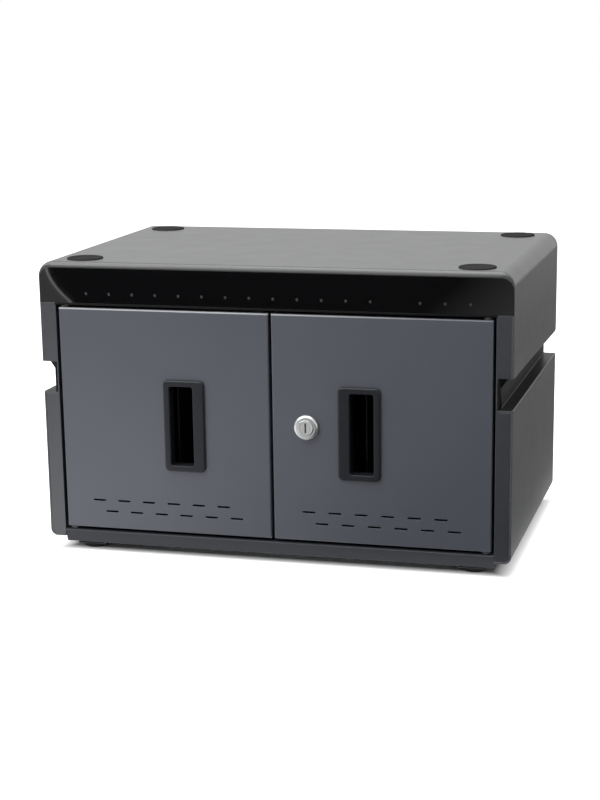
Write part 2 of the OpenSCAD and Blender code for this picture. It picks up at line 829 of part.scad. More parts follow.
// Rotor: a cup on a shaft, with pitched blades
module fan_rotor(side) color([0.14, 0.14, 0.15])
    translate([side * fan_x, panel_in_y, fan_z]) rotate([90, 0, 0]) {
        cup_z = spoke_t + cup_gap;
        cup_l = fan_d - cup_z - cup_front;
        cylinder(r = shaft_r, h = cup_z + shaft_lap);
        translate([0, 0, cup_z]) cylinder(r = hub_r, h = cup_l);
        intersection() {
            translate([0, 0, cup_z]) difference() {
                cylinder(r = fan_bore - blade_gap, h = cup_l);
                translate([0, 0, -over]) cylinder(r = hub_r - over, h = cup_l + 2 * over);
            }
            union() {
                for (i = [0 : fan_blades - 1]) rotate(i * 360 / fan_blades)
                    translate([0, 0, cup_z + cup_l / 2]) rotate([blade_turn, 0, 0])
                        box([0, -blade_half, -blade_t / 2], [fan_bore, blade_half, blade_t / 2]);
            }
        }
    }

module power_inlet() color(rubber_black) translate([inlet_x, panel_y, inlet_z]) difference() {
    union() {
        box([-inlet_w / 2 - inlet_flange, 0, -inlet_h / 2 - inlet_flange],
            [inlet_w / 2 + inlet_flange, inlet_wall, inlet_h / 2 + inlet_flange]);
        box([-inlet_w / 2, -panel_t - inlet_depth, -inlet_h / 2], [inlet_w / 2, over / 2, inlet_h / 2]);
    }
    along_y(-panel_t - inlet_depth + inlet_wall, inlet_wall + over) inlet_cavity();
}

// Cavity of the inlet, with its two cut corners
module inlet_cavity() {
    w = inlet_w / 2 - inlet_wall;
    h = inlet_h / 2 - inlet_wall;
    polygon([[-w, -h], [w, -h], [w, h - inlet_corner], [w - inlet_corner, h],
             [-w + inlet_corner, h], [-w, h - inlet_corner]]);
}

module inlet_pins() color(lock_silver)
    for (i = [-1, 0, 1])
        translate([inlet_x + i * inlet_pin_x, panel_y, inlet_z + (i == 0 ? inlet_pin_high : inlet_pin_low)])
            box([-inlet_pin_half.x, -panel_t - inlet_depth + inlet_wall, -inlet_pin_half.y],
                [inlet_pin_half.x, -panel_t - inlet_depth + inlet_wall + inlet_pins_l, inlet_pin_half.y]);

module power_switch_frame() color(rubber_black) translate([inlet_x, panel_y, switch_z]) difference() {
    union() {
        box([-switch_w / 2 - inlet_flange, 0, -switch_h / 2 - inlet_flange],
            [switch_w / 2 + inlet_flange, inlet_wall, switch_h / 2 + inlet_flange]);
        box([-switch_w / 2, -panel_t - switch_d, -switch_h / 2], [switch_w / 2, over / 2, switch_h / 2]);
    }
    box([-switch_w / 2 + inlet_wall, -panel_t - switch_d + inlet_wall, -switch_h / 2 + inlet_wall],
        [switch_w / 2 - inlet_wall, inlet_wall + over, switch_h / 2 - inlet_wall]);
    rotate([0, 90, 0])
        cylinder(r = axle_r + run_gap, h = rocker_w + 2 * (rocker_fit + axle_l), center = true);
}

module power_rocker() color([0.5, 0.06, 0.05]) translate([inlet_x, panel_y, switch_z])
    rotate([-rocker_tilt, 0, 0]) {
        along_x(-rocker_w / 2, rocker_w / 2)
            polygon([[-rocker_back, -rocker_half + rocker_taper], [rocker_nose, -rocker_half],
                     [rocker_dip, 0], [rocker_nose, rocker_half],
                     [-rocker_back, rocker_half - rocker_taper]]);
        rotate([0, 90, 0])
            cylinder(r = axle_r, h = rocker_w + 2 * (rocker_fit + axle_l - axle_play), center = true);
    }

// ---- bays and charging gear ----

module bay_bulkhead() color(zinc) difference() {
    box([-bay_half, bulkhead_y, base_z], [bay_half, bulkhead_y + sheet_t, ceiling_z]);
    for (side = [-1, 1]) {
        translate([side * bay_mid, bulkhead_y + sheet_t + over, grommet_z]) rotate([90, 0, 0])
            cylinder(r = grommet_r, h = sheet_t + 2 * over);
        along_y(bulkhead_y - over, bulkhead_y + sheet_t + over)
            translate([side * bay_mid, hub_z - bulkhead_vent_drop])
                slot_row(vent_count, vent_pitch, vent_l, vent_h);
    }
}

module bulkhead_grommets() color(rubber_black)
    for (side = [-1, 1]) translate([side * bay_mid, bulkhead_y, grommet_z]) rotate([-90, 0, 0])
        rotate_extrude()
            polygon([[grommet_bore, 0], [grommet_r - round_gap, 0], [grommet_r - round_gap, sheet_t],
                     [grommet_r + grommet_rim, sheet_t], [grommet_r + grommet_rim, sheet_t + grommet_lip],
                     [grommet_bore, sheet_t + grommet_lip]]);

module bay_ceiling() color(zinc)
    box([-bay_half, bolt_y + bolt_t + ceiling_gap, ceiling_z],
        [bay_half, bulkhead_y + sheet_t, ceiling_z + sheet_t]);

module centre_partition() color(zinc)
    box([-sheet_t / 2, front_y + partition_front, base_z], [sheet_t / 2, bulkhead_y, ceiling_z]);

// Strike: a bent plate that the turned cam reaches behind
module lock_strike() color(zinc) {
    box([sheet_t / 2, strike_y, lock_z - strike_h / 2],
        [strike_reach, strike_y + strike_t, lock_z + strike_h / 2]);
    box([sheet_t / 2, strike_y, lock_z - strike_h / 2],
        [sheet_t / 2 + strike_t, front_y + partition_front + strike_lap, lock_z + strike_h / 2]);
}

// Magnets under the header that hold the closed doors
module magnet_catches() color(rubber_black)
    for (side = [-1, 1]) on_side(side)
        box([2 * handle_x / 3 - magnet_w / 2, front_y + door_fold + magnet_gap, open_top - magnet_h],
            [2 * handle_x / 3 + magnet_w / 2, jamb_y + magnet_lap, open_top]);

function groove_x(i) = bay_mid - tray_w / 2 + i * slot_pitch;

module slot_tray(side) color([0.16, 0.16, 0.17]) on_side(side) difference() {
    box([bay_mid - tray_w / 2, tray_y0, base_z], [bay_mid + tray_w / 2, tray_y1, tray_top]);
    for (i = [1 : slot_count - 1]) translate([groove_x(i), 0, 0])
        box([-divider_t / 2 - groove_fit, tray_y0 - over, tray_top - groove_d],
            [divider_t / 2 + groove_fit, tray_y1 + over, tray_top + over]);
}

module dividers(side) color([0.2, 0.2, 0.21]) on_side(side)
    for (i = [1 : slot_count - 1])
        along_x(groove_x(i) - divider_t / 2, groove_x(i) + divider_t / 2) divider_outline();

// A divider from the side, with its round top front corner
module divider_outline() {
    y0 = tray_y0 + divider_inset;
    bottom = tray_top - groove_d;
    translate([y0, bottom]) square([tray_y1 - y0, divider_top - divider_r - bottom]);
    translate([y0 + divider_r, bottom])
        square([tray_y1 - y0 - divider_r, divider_top - bottom]);
    translate([y0 + divider_r, divider_top - divider_r]) circle(divider_r);
}

function port_x(i) = bay_mid + (i - (port_count - 1) / 2) * port_pitch;

module usb_hub(side) color([0.08, 0.08, 0.09]) on_side(side) difference() {
    box([bay_mid - hub_w / 2, hub_y, hub_z], [bay_mid + hub_w / 2, bulkhead_y, hub_z + hub_h]);
    for (i = [0 : port_count - 1]) translate([port_x(i), hub_y, grommet_z])
        box([-port_w / 2, -over, -port_h / 2], [port_w / 2, port_d, port_h / 2]);
}

// Ports: metal shells with the contact tongue inside
module hub_ports(side) color(lock_silver) on_side(side)
    for (i = [0 : port_count - 1]) translate([port_x(i), hub_y, grommet_z]) {
        difference() {
            box([-port_w / 2, 0, -port_h / 2], [port_w / 2, port_d, port_h / 2]);
            box([-port_w / 2 + port_wall, -over, -port_h / 2 + port_wall],
                [port_w / 2 - port_wall, port_d - port_wall, port_h / 2 - port_wall]);
        }
        box([-port_w / 2 + tongue_side, tongue_front, 0],
            [port_w / 2 - tongue_side, port_d - port_wall / 2, tongue_t]);
    }

module power_supply() color([0.55, 0.56, 0.57]) difference() {
    box([-supply_w / 2, supply_y, base_z], [supply_w / 2, supply_y + supply_d, base_z + supply_h]);
    for (row = [1 : supply_vent_rows])
        along_y(supply_y + supply_d - supply_vent_d, supply_y + supply_d + over)
            translate([0, base_z + row * supply_h / (supply_vent_rows + 1)])
                slot_row(supply_vents, supply_vent_pitch, supply_vent_l, supply_vent_h);
}

// ---- doors ----

module hinge_pins() color(lock_silver)
    for (side = [-1, 1]) translate([side * hinge_x, hinge_y, 0]) {
        translate([0, 0, sill_top - pin_grip]) cylinder(r = pin_r, h = 2 * pin_grip + door_gap);
        translate([0, 0, door_top - pin_grip]) cylinder(r = pin_r, h = 2 * pin_grip + door_gap);
    }

module hinge_bushes(side) color([0.85, 0.84, 0.8])
    for (end = [0, 1]) translate([side * hinge_x, hinge_y, end == 0 ? door_bottom : door_top])
        mirror([0, 0, end]) rotate_extrude()
            polygon([[pin_r + run_gap, bush_gap - door_gap], [bush_r + bush_collar, bush_gap - door_gap],
                     [bush_r + bush_collar, 0], [bush_r, 0], [bush_r, bush_l], [pin_r + run_gap, bush_l]]);

// Slot for the left bolt, through the door's top fold and the header
module bolt_slot(z0, z1) {
    box([-bolt_x - bolt_w / 2 - bolt_slot_gap, bolt_y - bolt_slot_gap, z0],
        [-bolt_x + bolt_w / 2 + bolt_slot_gap, bolt_y + bolt_t + bolt_slot_gap, z1]);
}

// Plan of a door pan on the right, drawn in by inset
module door_plan(inset) {
    w = door_out - door_in - 2 * inset;
    r = fold_r - inset;
    translate([door_in + inset, front_y + inset + r]) square([w, door_fold - inset - r]);
    translate([door_in + inset + r, front_y + inset]) square([w - 2 * r, door_fold - inset]);
    for (x = [door_in + inset + r, door_out - inset - r])
        translate([x, front_y + inset + r]) circle(r);
}

// Side view of a door pan, drawn in by inset
module door_side(inset) {
    h = door_top - door_bottom - 2 * inset;
    r = fold_r - inset;
    translate([front_y + inset + r, door_bottom + inset]) square([door_fold - inset - r, h]);
    translate([front_y + inset, door_bottom + inset + r]) square([door_fold - inset, h - 2 * r]);
    for (z = [door_bottom + inset + r, door_top - inset - r])
        translate([front_y + inset + r, z]) circle(r);
}

module door_solid(inset) intersection() {
    translate([0, 0, door_bottom]) linear_extrude(door_top - door_bottom) door_plan(inset);
    along_x(door_in, door_out) door_side(inset);
}

module door_pan(side) difference() {
    on_side(side) difference() {
        door_solid(0);
        door_solid(door_sheet);
        box([door_in + door_sheet + fold_r, front_y + door_fold / 2, door_bottom + door_sheet + fold_r],
            [door_out - door_sheet - fold_r, front_y + door_fold + over, door_top - door_sheet - fold_r]);
        box([door_in + door_sheet, front_y + door_fold - over, door_bottom + door_sheet],
            [door_out - door_sheet, front_y + door_fold + over, door_top - door_sheet]);
        translate([hinge_x, hinge_y, door_bottom - over]) cylinder(r = bush_r, h = door_sheet + 2 * over);
        translate([hinge_x, hinge_y, door_top - door_sheet - over])
            cylinder(r = bush_r, h = door_sheet + 2 * over);
        along_y(front_y - over, front_y + door_sheet + over) translate([handle_x + window_shift, handle_z])
            round_rect(window_w + 2 * sleeve_t, window_h + 2 * sleeve_t, window_r + sleeve_t);
    }
    for (row = [0, 1])
        along_y(front_y - over, front_y + door_sheet + over)
            translate([side * door_mid + (2 * row - 1) * vent_stagger, vent_upper_z - row * vent_row_gap])
                slot_row(vent_count, vent_pitch, vent_l, vent_h);
}

module left_door() color(door_grey) difference() {
    door_pan(-1);
    bolt_slot(door_top - door_sheet - over, door_top + over);
}

module right_door() color(door_grey) difference() {
    door_pan(1);
    at_lock() translate([0, 0, -door_sheet - over])
        cylinder(r = barrel_r + round_gap, h = door_sheet + 2 * over);
}

// Finger-window frame: raised band in front of the door, sleeve through it
module handle_frame(side) color(handle_grey) on_side(side) difference() {
    union() {
        along_y(front_y - handle_proud + handle_step, front_y) translate([handle_x, handle_z])
            round_rect(handle_w, handle_h, handle_r);
        along_y(front_y - handle_proud, front_y) translate([handle_x, handle_z])
            round_rect(handle_w - 2 * handle_step, handle_h - 2 * handle_step, handle_r - handle_step);
        along_y(front_y - over, front_y + sleeve_d) translate([handle_x + window_shift, handle_z])
            round_rect(window_w + 2 * sleeve_t, window_h + 2 * sleeve_t, window_r + sleeve_t);
    }
    along_y(front_y - handle_proud - over, front_y + sleeve_d + over)
        translate([handle_x + window_shift, handle_z]) round_rect(window_w, window_h, window_r);
}

// Staples on the left door that guide the bolt
module bolt_guides() color(zinc)
    for (top = guide_tops) difference() {
        box([-bolt_x - bolt_w / 2 - guide_wall, front_y + door_sheet, top - guide_h],
              [-bolt_x + bolt_w / 2 + guide_wall, bolt_y + bolt_t + guide_back, top]);
        box([-bolt_x - bolt_w / 2 - bolt_gap, bolt_y - bolt_gap, top - guide_h - over],
            [-bolt_x + bolt_w / 2 + bolt_gap, bolt_y + bolt_t + bolt_gap, top + over]);
    }

module left_bolt() color(lock_silver) {
    box([-bolt_x - bolt_w / 2, bolt_y, bolt_top - bolt_l],
        [-bolt_x + bolt_w / 2, bolt_y + bolt_t, bolt_top]);
    translate([-bolt_x, bolt_y + bolt_t, bolt_top - bolt_l + knob_rise]) rotate([-90, 0, 0]) {
        translate([0, 0, -over]) cylinder(r = knob_neck_r, h = knob_neck_l + 2 * over);
        translate([0, 0, knob_neck_l]) cylinder(r = knob_r, h = knob_l);
    }
}

// ---- lock; its own +Z points out of the door ----

module at_lock() {
    translate([lock_x, front_y, lock_z]) rotate([90, 0, 0]) children();
}

module lock_body() color(lock_silver) at_lock() rotate_extrude()
    polygon([[plug_r + run_gap, -barrel_l], [barrel_r - barrel_bevel, -barrel_l],
             [barrel_r, -barrel_l + barrel_bevel], [barrel_r, 0], [rose_r, 0], [rose_r, rose_h - rose_side],
             [rose_r - rose_edge.x, rose_h - rose_edge.y], [rose_r - rose_face, rose_h],
             [plug_r + run_gap, rose_h]]);

module lock_nut() color(zinc) at_lock() translate([0, 0, -door_sheet - nut_t]) difference() {
    cylinder(r = barrel_r + nut_wall, h = nut_t, $fn = 6);
    translate([0, 0, -over]) cylinder(r = barrel_r + round_gap, h = nut_t + 2 * over);
}

module lock_plug() color(lock_silver) at_lock() difference() {
    translate([0, 0, -cam_y]) cylinder(r = plug_r, h = cam_y + rose_h + plug_out);
    box([-key_slot_w / 2, -key_slot_l / 2, rose_h - key_slot_d],
        [key_slot_w / 2, key_slot_l / 2, lock_proud + over]);
    translate([0, 0, -cam_y - over]) cylinder(r = screw_r, h = cam_screw_l + over);
}

module lock_cam() color(zinc) at_lock() translate([0, 0, -cam_y - cam_t]) difference() {
    union() {
        cylinder(r = cam_w / 2 + cam_round, h = cam_t);
        linear_extrude(cam_t) polygon([[-cam_w / 2, 0], [cam_w / 2, 0], [cam_w / 2 - cam_round, -cam_reach],
                                       [-cam_w / 2 + cam_round, -cam_reach]]);
    }
    translate([0, 0, -over]) cylinder(r = screw_r + cam_play, h = cam_t + 2 * over);
}

module cam_screw() color(lock_silver) at_lock() translate([0, 0, -cam_y]) {
    translate([0, 0, -cam_t - cam_head_h]) cylinder(r = cam_head_r, h = cam_head_h);
    translate([0, 0, -cam_t - over])
        cylinder(r = screw_r - round_gap, h = cam_t + over + cam_screw_l - cam_thread_gap);
}

upper_shell();
lower_side(-1);  // lower_side_left
lower_side(1);  // lower_side_right
front_frame();
front_bezel();
led_lenses();
led_board();
front_sill();
base_plate();
base_rails();
rubber_feet();
stacking_pads();
rear_panel();
rear_screws();
bay_bulkhead();
bay_ceiling();
centre_partition();
lock_strike();
magnet_catches();
slot_tray(-1);  // slot_tray_left
slot_tray(1);  // slot_tray_right
dividers(-1);  // dividers_left
dividers(1);  // dividers_right
usb_hub(-1);  // usb_hub_left
usb_hub(1);  // usb_hub_right
hub_ports(-1);  // hub_ports_left
hub_ports(1);  // hub_ports_right
bulkhead_grommets();
power_supply();
fan_frames();
fan_rotor(-1);  // fan_rotor_left
fan_rotor(1);  // fan_rotor_right
power_inlet();
inlet_pins();
power_switch_frame();
power_rocker();
hinge_pins();
left_door();
right_door();
handle_frame(-1);  // left_handle_frame
handle_frame(1);  // right_handle_frame
hinge_bushes(-1);  // hinge_bushes_left
hinge_bushes(1);  // hinge_bushes_right
bolt_guides();
left_bolt();
lock_body();
lock_nut();
lock_plug();
lock_cam();
cam_screw();
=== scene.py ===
"""Looks of the two-door charging locker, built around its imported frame. All sizes are in metres."""
import math

import bmesh
import bpy
from mathutils import Matrix, Vector

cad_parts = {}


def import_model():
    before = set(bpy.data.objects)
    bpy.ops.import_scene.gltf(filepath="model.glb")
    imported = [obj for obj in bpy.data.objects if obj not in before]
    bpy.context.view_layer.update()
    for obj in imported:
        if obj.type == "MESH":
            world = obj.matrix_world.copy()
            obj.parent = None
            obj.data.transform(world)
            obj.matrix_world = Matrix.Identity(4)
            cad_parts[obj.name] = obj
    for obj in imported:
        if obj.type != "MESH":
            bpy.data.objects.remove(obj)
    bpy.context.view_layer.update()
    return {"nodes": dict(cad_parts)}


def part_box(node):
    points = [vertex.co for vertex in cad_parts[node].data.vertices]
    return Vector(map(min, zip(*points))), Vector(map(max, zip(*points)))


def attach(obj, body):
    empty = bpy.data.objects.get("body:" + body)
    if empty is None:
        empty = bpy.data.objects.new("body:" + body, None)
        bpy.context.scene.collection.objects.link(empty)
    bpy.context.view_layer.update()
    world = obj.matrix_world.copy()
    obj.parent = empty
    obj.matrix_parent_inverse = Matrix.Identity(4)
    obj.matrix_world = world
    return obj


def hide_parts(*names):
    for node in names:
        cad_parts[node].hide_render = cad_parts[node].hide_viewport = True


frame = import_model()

MM = 0.001

# ---- real sizes, in millimetres where they are small ----

def middle_of(node):
    low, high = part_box(node)
    return (low + high) / 2


FRONT_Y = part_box("lower_side_right")[0].y       # plane of the door fronts
REAR_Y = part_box("lower_side_right")[1].y
HALF_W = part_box("upper_shell")[1].x
CASE_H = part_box("upper_shell")[1].z
CORNER_X = 0.9 * HALF_W                         # what lies beyond it is on a side
GRIP_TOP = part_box("upper_shell")[0].z           # lip over the grip channels
GRIP_HALF = HALF_W - 14.5 * MM                  # back wall of the grip channels
LEDGE_Z = 189 * MM                              # floor of the grip channels
NOTCH_TOP = 223.5 * MM                          # front corners cut out up to here
FRAME_D = 5.5 * MM                              # strip and front frame together
SHELL_WALL = 2.5 * MM
TOP_EDGE_R = 16 * MM
LOW_EDGE_R = 8 * MM
NOSE_R = 6 * MM                                 # front edge of the top
SIDE_NOSE_R = 0.45 * MM                         # front edge of the sides
HAIR = 0.01 * MM                                # gap between two rings at one place
SEAT = 0.5 * MM                                 # how far walls and ears sink into the shell
EAR = 14 * MM                                   # screw ears inside the shell
EAR_D = 12 * MM
EAR_SETBACK = 3.5 * MM                          # ears before the shell's rear edge
EAR_RISE = 29 * MM                              # lower ears over the lips
EAR_X = 112.5 * MM                              # ears under the top
RUN = 0.05 * MM                                 # clearance of what turns or is let in
PAST = 3 * MM                                   # how far cutters reach past a sheet

STRIP_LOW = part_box("front_bezel")[0].z
STRIP_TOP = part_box("front_bezel")[1].z
STRIP_D = 3 * MM
STRIP_RIM = 0.6 * MM                            # shell's rim beside the strip
STRIP_R = 14 * MM
OPEN_TOP = STRIP_LOW - 2.4 * MM
OPEN_HALF = 251.2 * MM

DOOR_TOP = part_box("left_door")[1].z
DOOR_SHEET = 1.2 * MM
DOOR_FOLD_R = 2 * MM
PIN_R = 2.5 * MM
HINGE_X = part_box("hinge_pins")[1].x - PIN_R
HINGE_SETBACK = 6.5 * MM
BUSH_R = 4.4 * MM
VENT_COUNT = 6
VENT_PITCH = 30 * MM
VENT_L = 15 * MM
VENT_H = 2.2 * MM
VENT_UPPER_Z = 63 * MM
VENT_ROW_GAP = 13 * MM
VENT_STAGGER = 7.5 * MM
BOLT_SLOT_X = (-22 * MM, -10 * MM)
BOLT_SLOT_Y = (7 * MM, 13 * MM)                 # behind the door's front

HANDLE_X = middle_of("right_handle_frame").x
HANDLE_Z = middle_of("right_handle_frame").z
HANDLE_W = 48 * MM
HANDLE_H = 105 * MM
HANDLE_R = 5.5 * MM
HANDLE_PROUD = 3.5 * MM
WINDOW_W = 27 * MM
WINDOW_H = 91 * MM
WINDOW_R = 2.5 * MM
WINDOW_SHIFT = 3 * MM
SLEEVE_T = 2 * MM
SLEEVE_D = 12 * MM

LOCK_X = middle_of("lock_body").x
LOCK_Z = middle_of("lock_body").z
ROSE_R = 14 * MM
ROSE_H = 5 * MM
BARREL_R = 11 * MM
BARREL_L = 18.5 * MM
PLUG_R = 8.9 * MM
PLUG_OUT = 0.8 * MM
KEY_SLOT_L = 11.3 * MM
KEY_SLOT_W = 2 * MM
KEY_SLOT_D = 8 * MM

LIGHT_COUNT = 17
LIGHT_GAP = 13
LIGHT_R = 1.5 * MM
LIGHT_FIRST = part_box("led_lenses")[0].x + LIGHT_R
LIGHT_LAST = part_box("led_lenses")[1].x - LIGHT_R
LIGHT_PITCH = (LIGHT_LAST - LIGHT_FIRST) / (LIGHT_COUNT - 1)
LIGHT_START = (LIGHT_FIRST, FRONT_Y, middle_of("led_lenses").z)

PAD_R = 20.5 * MM
PAD_DISH_R = 15 * MM
FOOT_R = 14 * MM

DIVIDER_COUNT = 7
DIVIDER_T = 2 * MM
DIVIDER_CORNER_R = 45 * MM

FAN_BLADES = 7
FAN_HUB_R = 16.5 * MM
FAN_CUP_L = 19.5 * MM
FAN_PIN_R = 1.5 * MM
FAN_RIM = 1.2 * MM                              # cup's edges past the blades

SCREW_R = 1.45 * MM
SCREW_HEAD_R = 3.1 * MM
SCREW_L = 11.5 * MM
CROSS_L = 3.2 * MM
CROSS_W = 0.6 * MM

CAMERA_AT = (0.5537, -2.0568, 0.6102)
CAMERA_AZIMUTH = math.radians(15.437)
CAMERA_ELEVATION = math.radians(13.986)
CAMERA_ROLL = -0.01435
CAMERA_LENS = 81.627
CAMERA_SHIFT = 0.075

FLOOR_HALF = 14.0
FLOOR_NEAR = 0.84                               # floor's own light near the case; 1 far away
AMBIENT = 0.18                                  # world's light on the object
BOARD_X = (-3.5, 1.2)                           # boards that only reflections show
BOARD_Y = -4.5
SIDE_BOARD = (0.29, 2.5, -0.4, 3.5)
FRONT_BOARD = (-6.0, 4.0, -4.6, 0.0, 1.6)
LINE_TOP_X = -262 * MM                          # bright line in the strip, at its top
LINE_LOW_X = -234 * MM                          # and at its foot
LINE_BOW = 45 * MM
LINE_W = 5 * MM


# ---- helpers: trees, meshes and pieces ----

class Graph:
    """Adds nodes to a tree; sockets are fed by name, or by i0, i1 for their place."""

    def __init__(self, tree):
        self.tree = tree

    def __call__(self, kind, settings=None, **feeds):
        node = self.tree.nodes.new(kind)
        for key, value in (settings or {}).items():
            setattr(node, key, value)
        for key, value in feeds.items():
            if key[0] == "i" and key[1:].isdigit():
                socket = node.inputs[int(key[1:])]
            else:
                name = key.replace("_", " ")
                socket = next(s for s in node.inputs if s.name == name and s.enabled)
            if isinstance(value, bpy.types.NodeSocket):
                self.tree.links.new(value, socket)
            else:
                socket.default_value = value
        return node

    def maths(self, operation, *values):
        feeds = {f"i{i}": value for i, value in enumerate(values)}
        return self("ShaderNodeMath", {"operation": operation}, **feeds).outputs[0]

    def vector(self, operation, *values):
        feeds = {f"i{i}": value for i, value in enumerate(values)}
        return self("ShaderNodeVectorMath", {"operation": operation}, **feeds).outputs[0]


def shape_tree(name, sizes):
    """A geometry tree with named inputs; returns its graph, its input sockets and its output node."""
    tree = bpy.data.node_groups.new(name, "GeometryNodeTree")
    tree.interface.new_socket(name="Geometry", in_out="INPUT", socket_type="NodeSocketGeometry")
    for label, kind in sizes.items():
        tree.interface.new_socket(name=label, in_out="INPUT", socket_type="NodeSocket" + kind)
    tree.interface.new_socket(name="Geometry", in_out="OUTPUT", socket_type="NodeSocketGeometry")
    graph = Graph(tree)
    given = graph("NodeGroupInput").outputs
    return graph, given, graph("NodeGroupOutput")


def apply_tree(obj, tree, **values):
    """Puts a tree on an object with its inputs set by their identifiers, and makes the result plain."""
    modifier = obj.modifiers.new(tree.name, "NODES")
    modifier.node_group = tree
    for item in tree.interface.items_tree:
        label = item.name.replace(" ", "_").lower()
        if item.in_out == "INPUT" and label in values:
            modifier[item.identifier] = values[label]
    return make_plain(obj)


def make_plain(obj):
    """Turns an object with its modifiers into a plain mesh."""
    depsgraph = bpy.context.evaluated_depsgraph_get()
    mesh = bpy.data.meshes.new_from_object(obj.evaluated_get(depsgraph),
                                           preserve_all_data_layers=True, depsgraph=depsgraph)
    obj.modifiers.clear()
    obj.data = mesh
    mesh.name = obj.name
    return obj


def mesh_object(name, points, faces, material=None):
    """A new object in the scene from points and faces."""
    mesh = bpy.data.meshes.new(name)
    mesh.from_pydata([tuple(p) for p in points], [], faces)
    mesh.validate()
    if material:
        mesh.materials.append(material)
    obj = bpy.data.objects.new(name, mesh)
    bpy.context.scene.collection.objects.link(obj)
    return obj


def from_bmesh(name, bm, material=None):
    """A new object in the scene from a bmesh, which is used up."""
    mesh = bpy.data.meshes.new(name)
    bm.to_mesh(mesh)
    bm.free()
    if material:
        mesh.materials.append(material)
    obj = bpy.data.objects.new(name, mesh)
    bpy.context.scene.collection.objects.link(obj)
    return obj


def outward(obj):
    """Turns all faces outwards after merging what coincides."""
    bm = bmesh.new()
    bm.from_mesh(obj.data)
    bmesh.ops.remove_doubles(bm, verts=bm.verts, dist=1e-6)
    bmesh.ops.recalc_face_normals(bm, faces=bm.faces)
    bm.to_mesh(obj.data)
    bm.free()
    return obj


def rounded_edges(obj, width, segments=2, angle=50):
    """Rounds the sharp edges, marks the new faces for the wear, and evens the shading."""
    mesh = obj.data
    material = mesh.materials[0]
    mesh.materials.append(material)
    mesh.shade_smooth()
    bevel = obj.modifiers.new("edges", "BEVEL")
    bevel.width = width
    bevel.segments = segments
    bevel.limit_method = "ANGLE"
    bevel.angle_limit = math.radians(angle)
    bevel.use_clamp_overlap = False
    bevel.material = 1
    normals = obj.modifiers.new("normals", "WEIGHTED_NORMAL")
    normals.keep_sharp = True
    make_plain(obj)
    mesh = obj.data
    worn = [float(p.material_index == 1) for p in mesh.polygons]
    mesh.attributes.new("edge", "FLOAT", "FACE").data.foreach_set("value", worn)
    mesh.polygons.foreach_set("material_index", [0] * len(worn))
    mesh.materials.clear()
    mesh.materials.append(material)
    return obj


def polished_edges(obj, width, segments=3):
    """Rounds the sharp edges of a polished piece and keeps its flats exactly flat."""
    material = obj.data.materials[0]
    obj.data.materials.append(material)
    bevel = obj.modifiers.new("edges", "BEVEL")
    bevel.width = width
    bevel.segments = segments
    bevel.limit_method = "ANGLE"
    bevel.angle_limit = math.radians(50)
    bevel.use_clamp_overlap = False
    bevel.material = 1
    make_plain(obj)
    mesh = obj.data
    edges = [p.material_index == 1 for p in mesh.polygons]
    mesh.polygons.foreach_set("use_smooth", edges)
    mesh.polygons.foreach_set("material_index", [0] * len(edges))
    mesh.materials.clear()
    mesh.materials.append(material)
    return obj


def smooth(obj, angle=40):
    """Smooth shading, sharp where faces meet at more than an angle."""
    obj.data.shade_smooth()
    obj.data.set_sharp_from_angle(angle=math.radians(angle))
    return obj


def dressed(node, material, width=0.3 * MM, segments=2, angle=50):
    """A finished copy of a CAD piece: merged, its flats joined, its edges rounded."""
    bm = bmesh.new()
    bm.from_mesh(frame["nodes"][node].data)
    bmesh.ops.remove_doubles(bm, verts=bm.verts, dist=1e-6)
    bmesh.ops.dissolve_limit(bm, angle_limit=math.radians(0.3), verts=bm.verts, edges=bm.edges)
    return rounded_edges(from_bmesh(node + "_piece", bm, material), width, segments, angle)


def place(piece, body, slot, *nodes):
    """Ties a piece to its body and hides the nodes that it stands for; the slot is not used."""
    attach(piece, body)
    if nodes:
        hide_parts(*nodes)
    return piece


def joined(name, objects):
    """Joins finished meshes into one object."""
    bm = bmesh.new()
    for obj in objects:
        bm.from_mesh(obj.data)
    result = from_bmesh(name, bm, objects[0].data.materials[0])
    for obj in objects:
        bpy.data.objects.remove(obj)
    return result


def rounded_outline(width, height, radius, middle=(0, 0), steps=6):
    """Points of a rectangle with round corners, anticlockwise in X-Z."""
    points = []
    for i, (sx, sz) in enumerate(((1, 1), (-1, 1), (-1, -1), (1, -1))):
        for k in range(steps + 1):
            turn = math.pi / 2 * (i + k / steps)
            points.append((middle[0] + sx * (width / 2 - radius) + radius * math.cos(turn),
                           middle[1] + sz * (height / 2 - radius) + radius * math.sin(turn)))
    return points


def quarter(steps):
    """Angles over a quarter turn."""
    return [math.pi / 2 * k / steps for k in range(steps + 1)]


def ring_faces(rings, count, closed=False):
    """Quads between rings of equal count, and from the last ring to the first where closed."""
    faces = []
    for r in range(rings if closed else rings - 1):
        a, b = r * count, ((r + 1) % rings) * count
        faces += [(a + i, a + (i + 1) % count, b + (i + 1) % count, b + i) for i in range(count)]
    return faces


def end_caps(rings, count):
    """The faces over the first and the last ring."""
    return [tuple(range(count)), tuple(reversed(range((rings - 1) * count, rings * count)))]


def turned(name, profile, middle, material, steps=64, along="y"):
    """A body turned from a profile of (radius, distance) about an axis through its middle."""
    solid = profile[0][0] == 0
    profile = [p for p in profile if p[0] > 0]
    points = []
    for radius, out in profile:
        for i in range(steps):
            turn = 2 * math.pi * i / steps
            c, s = radius * math.cos(turn), radius * math.sin(turn)
            points.append(Vector(middle) + (Vector((c, out, s)) if along == "y" else Vector((c, s, out))))
    faces = ring_faces(len(profile), steps, closed=not solid)
    if solid:
        faces += end_caps(len(profile), steps)
    return outward(mesh_object(name, points, faces, material))


def prism(name, outline, y0, y1, material=None):
    """An X-Z outline carried from one y to another."""
    count = len(outline)
    points = [(x, y, z) for y in (y0, y1) for x, z in outline]
    return outward(mesh_object(name, points, ring_faces(2, count) + end_caps(2, count), material))


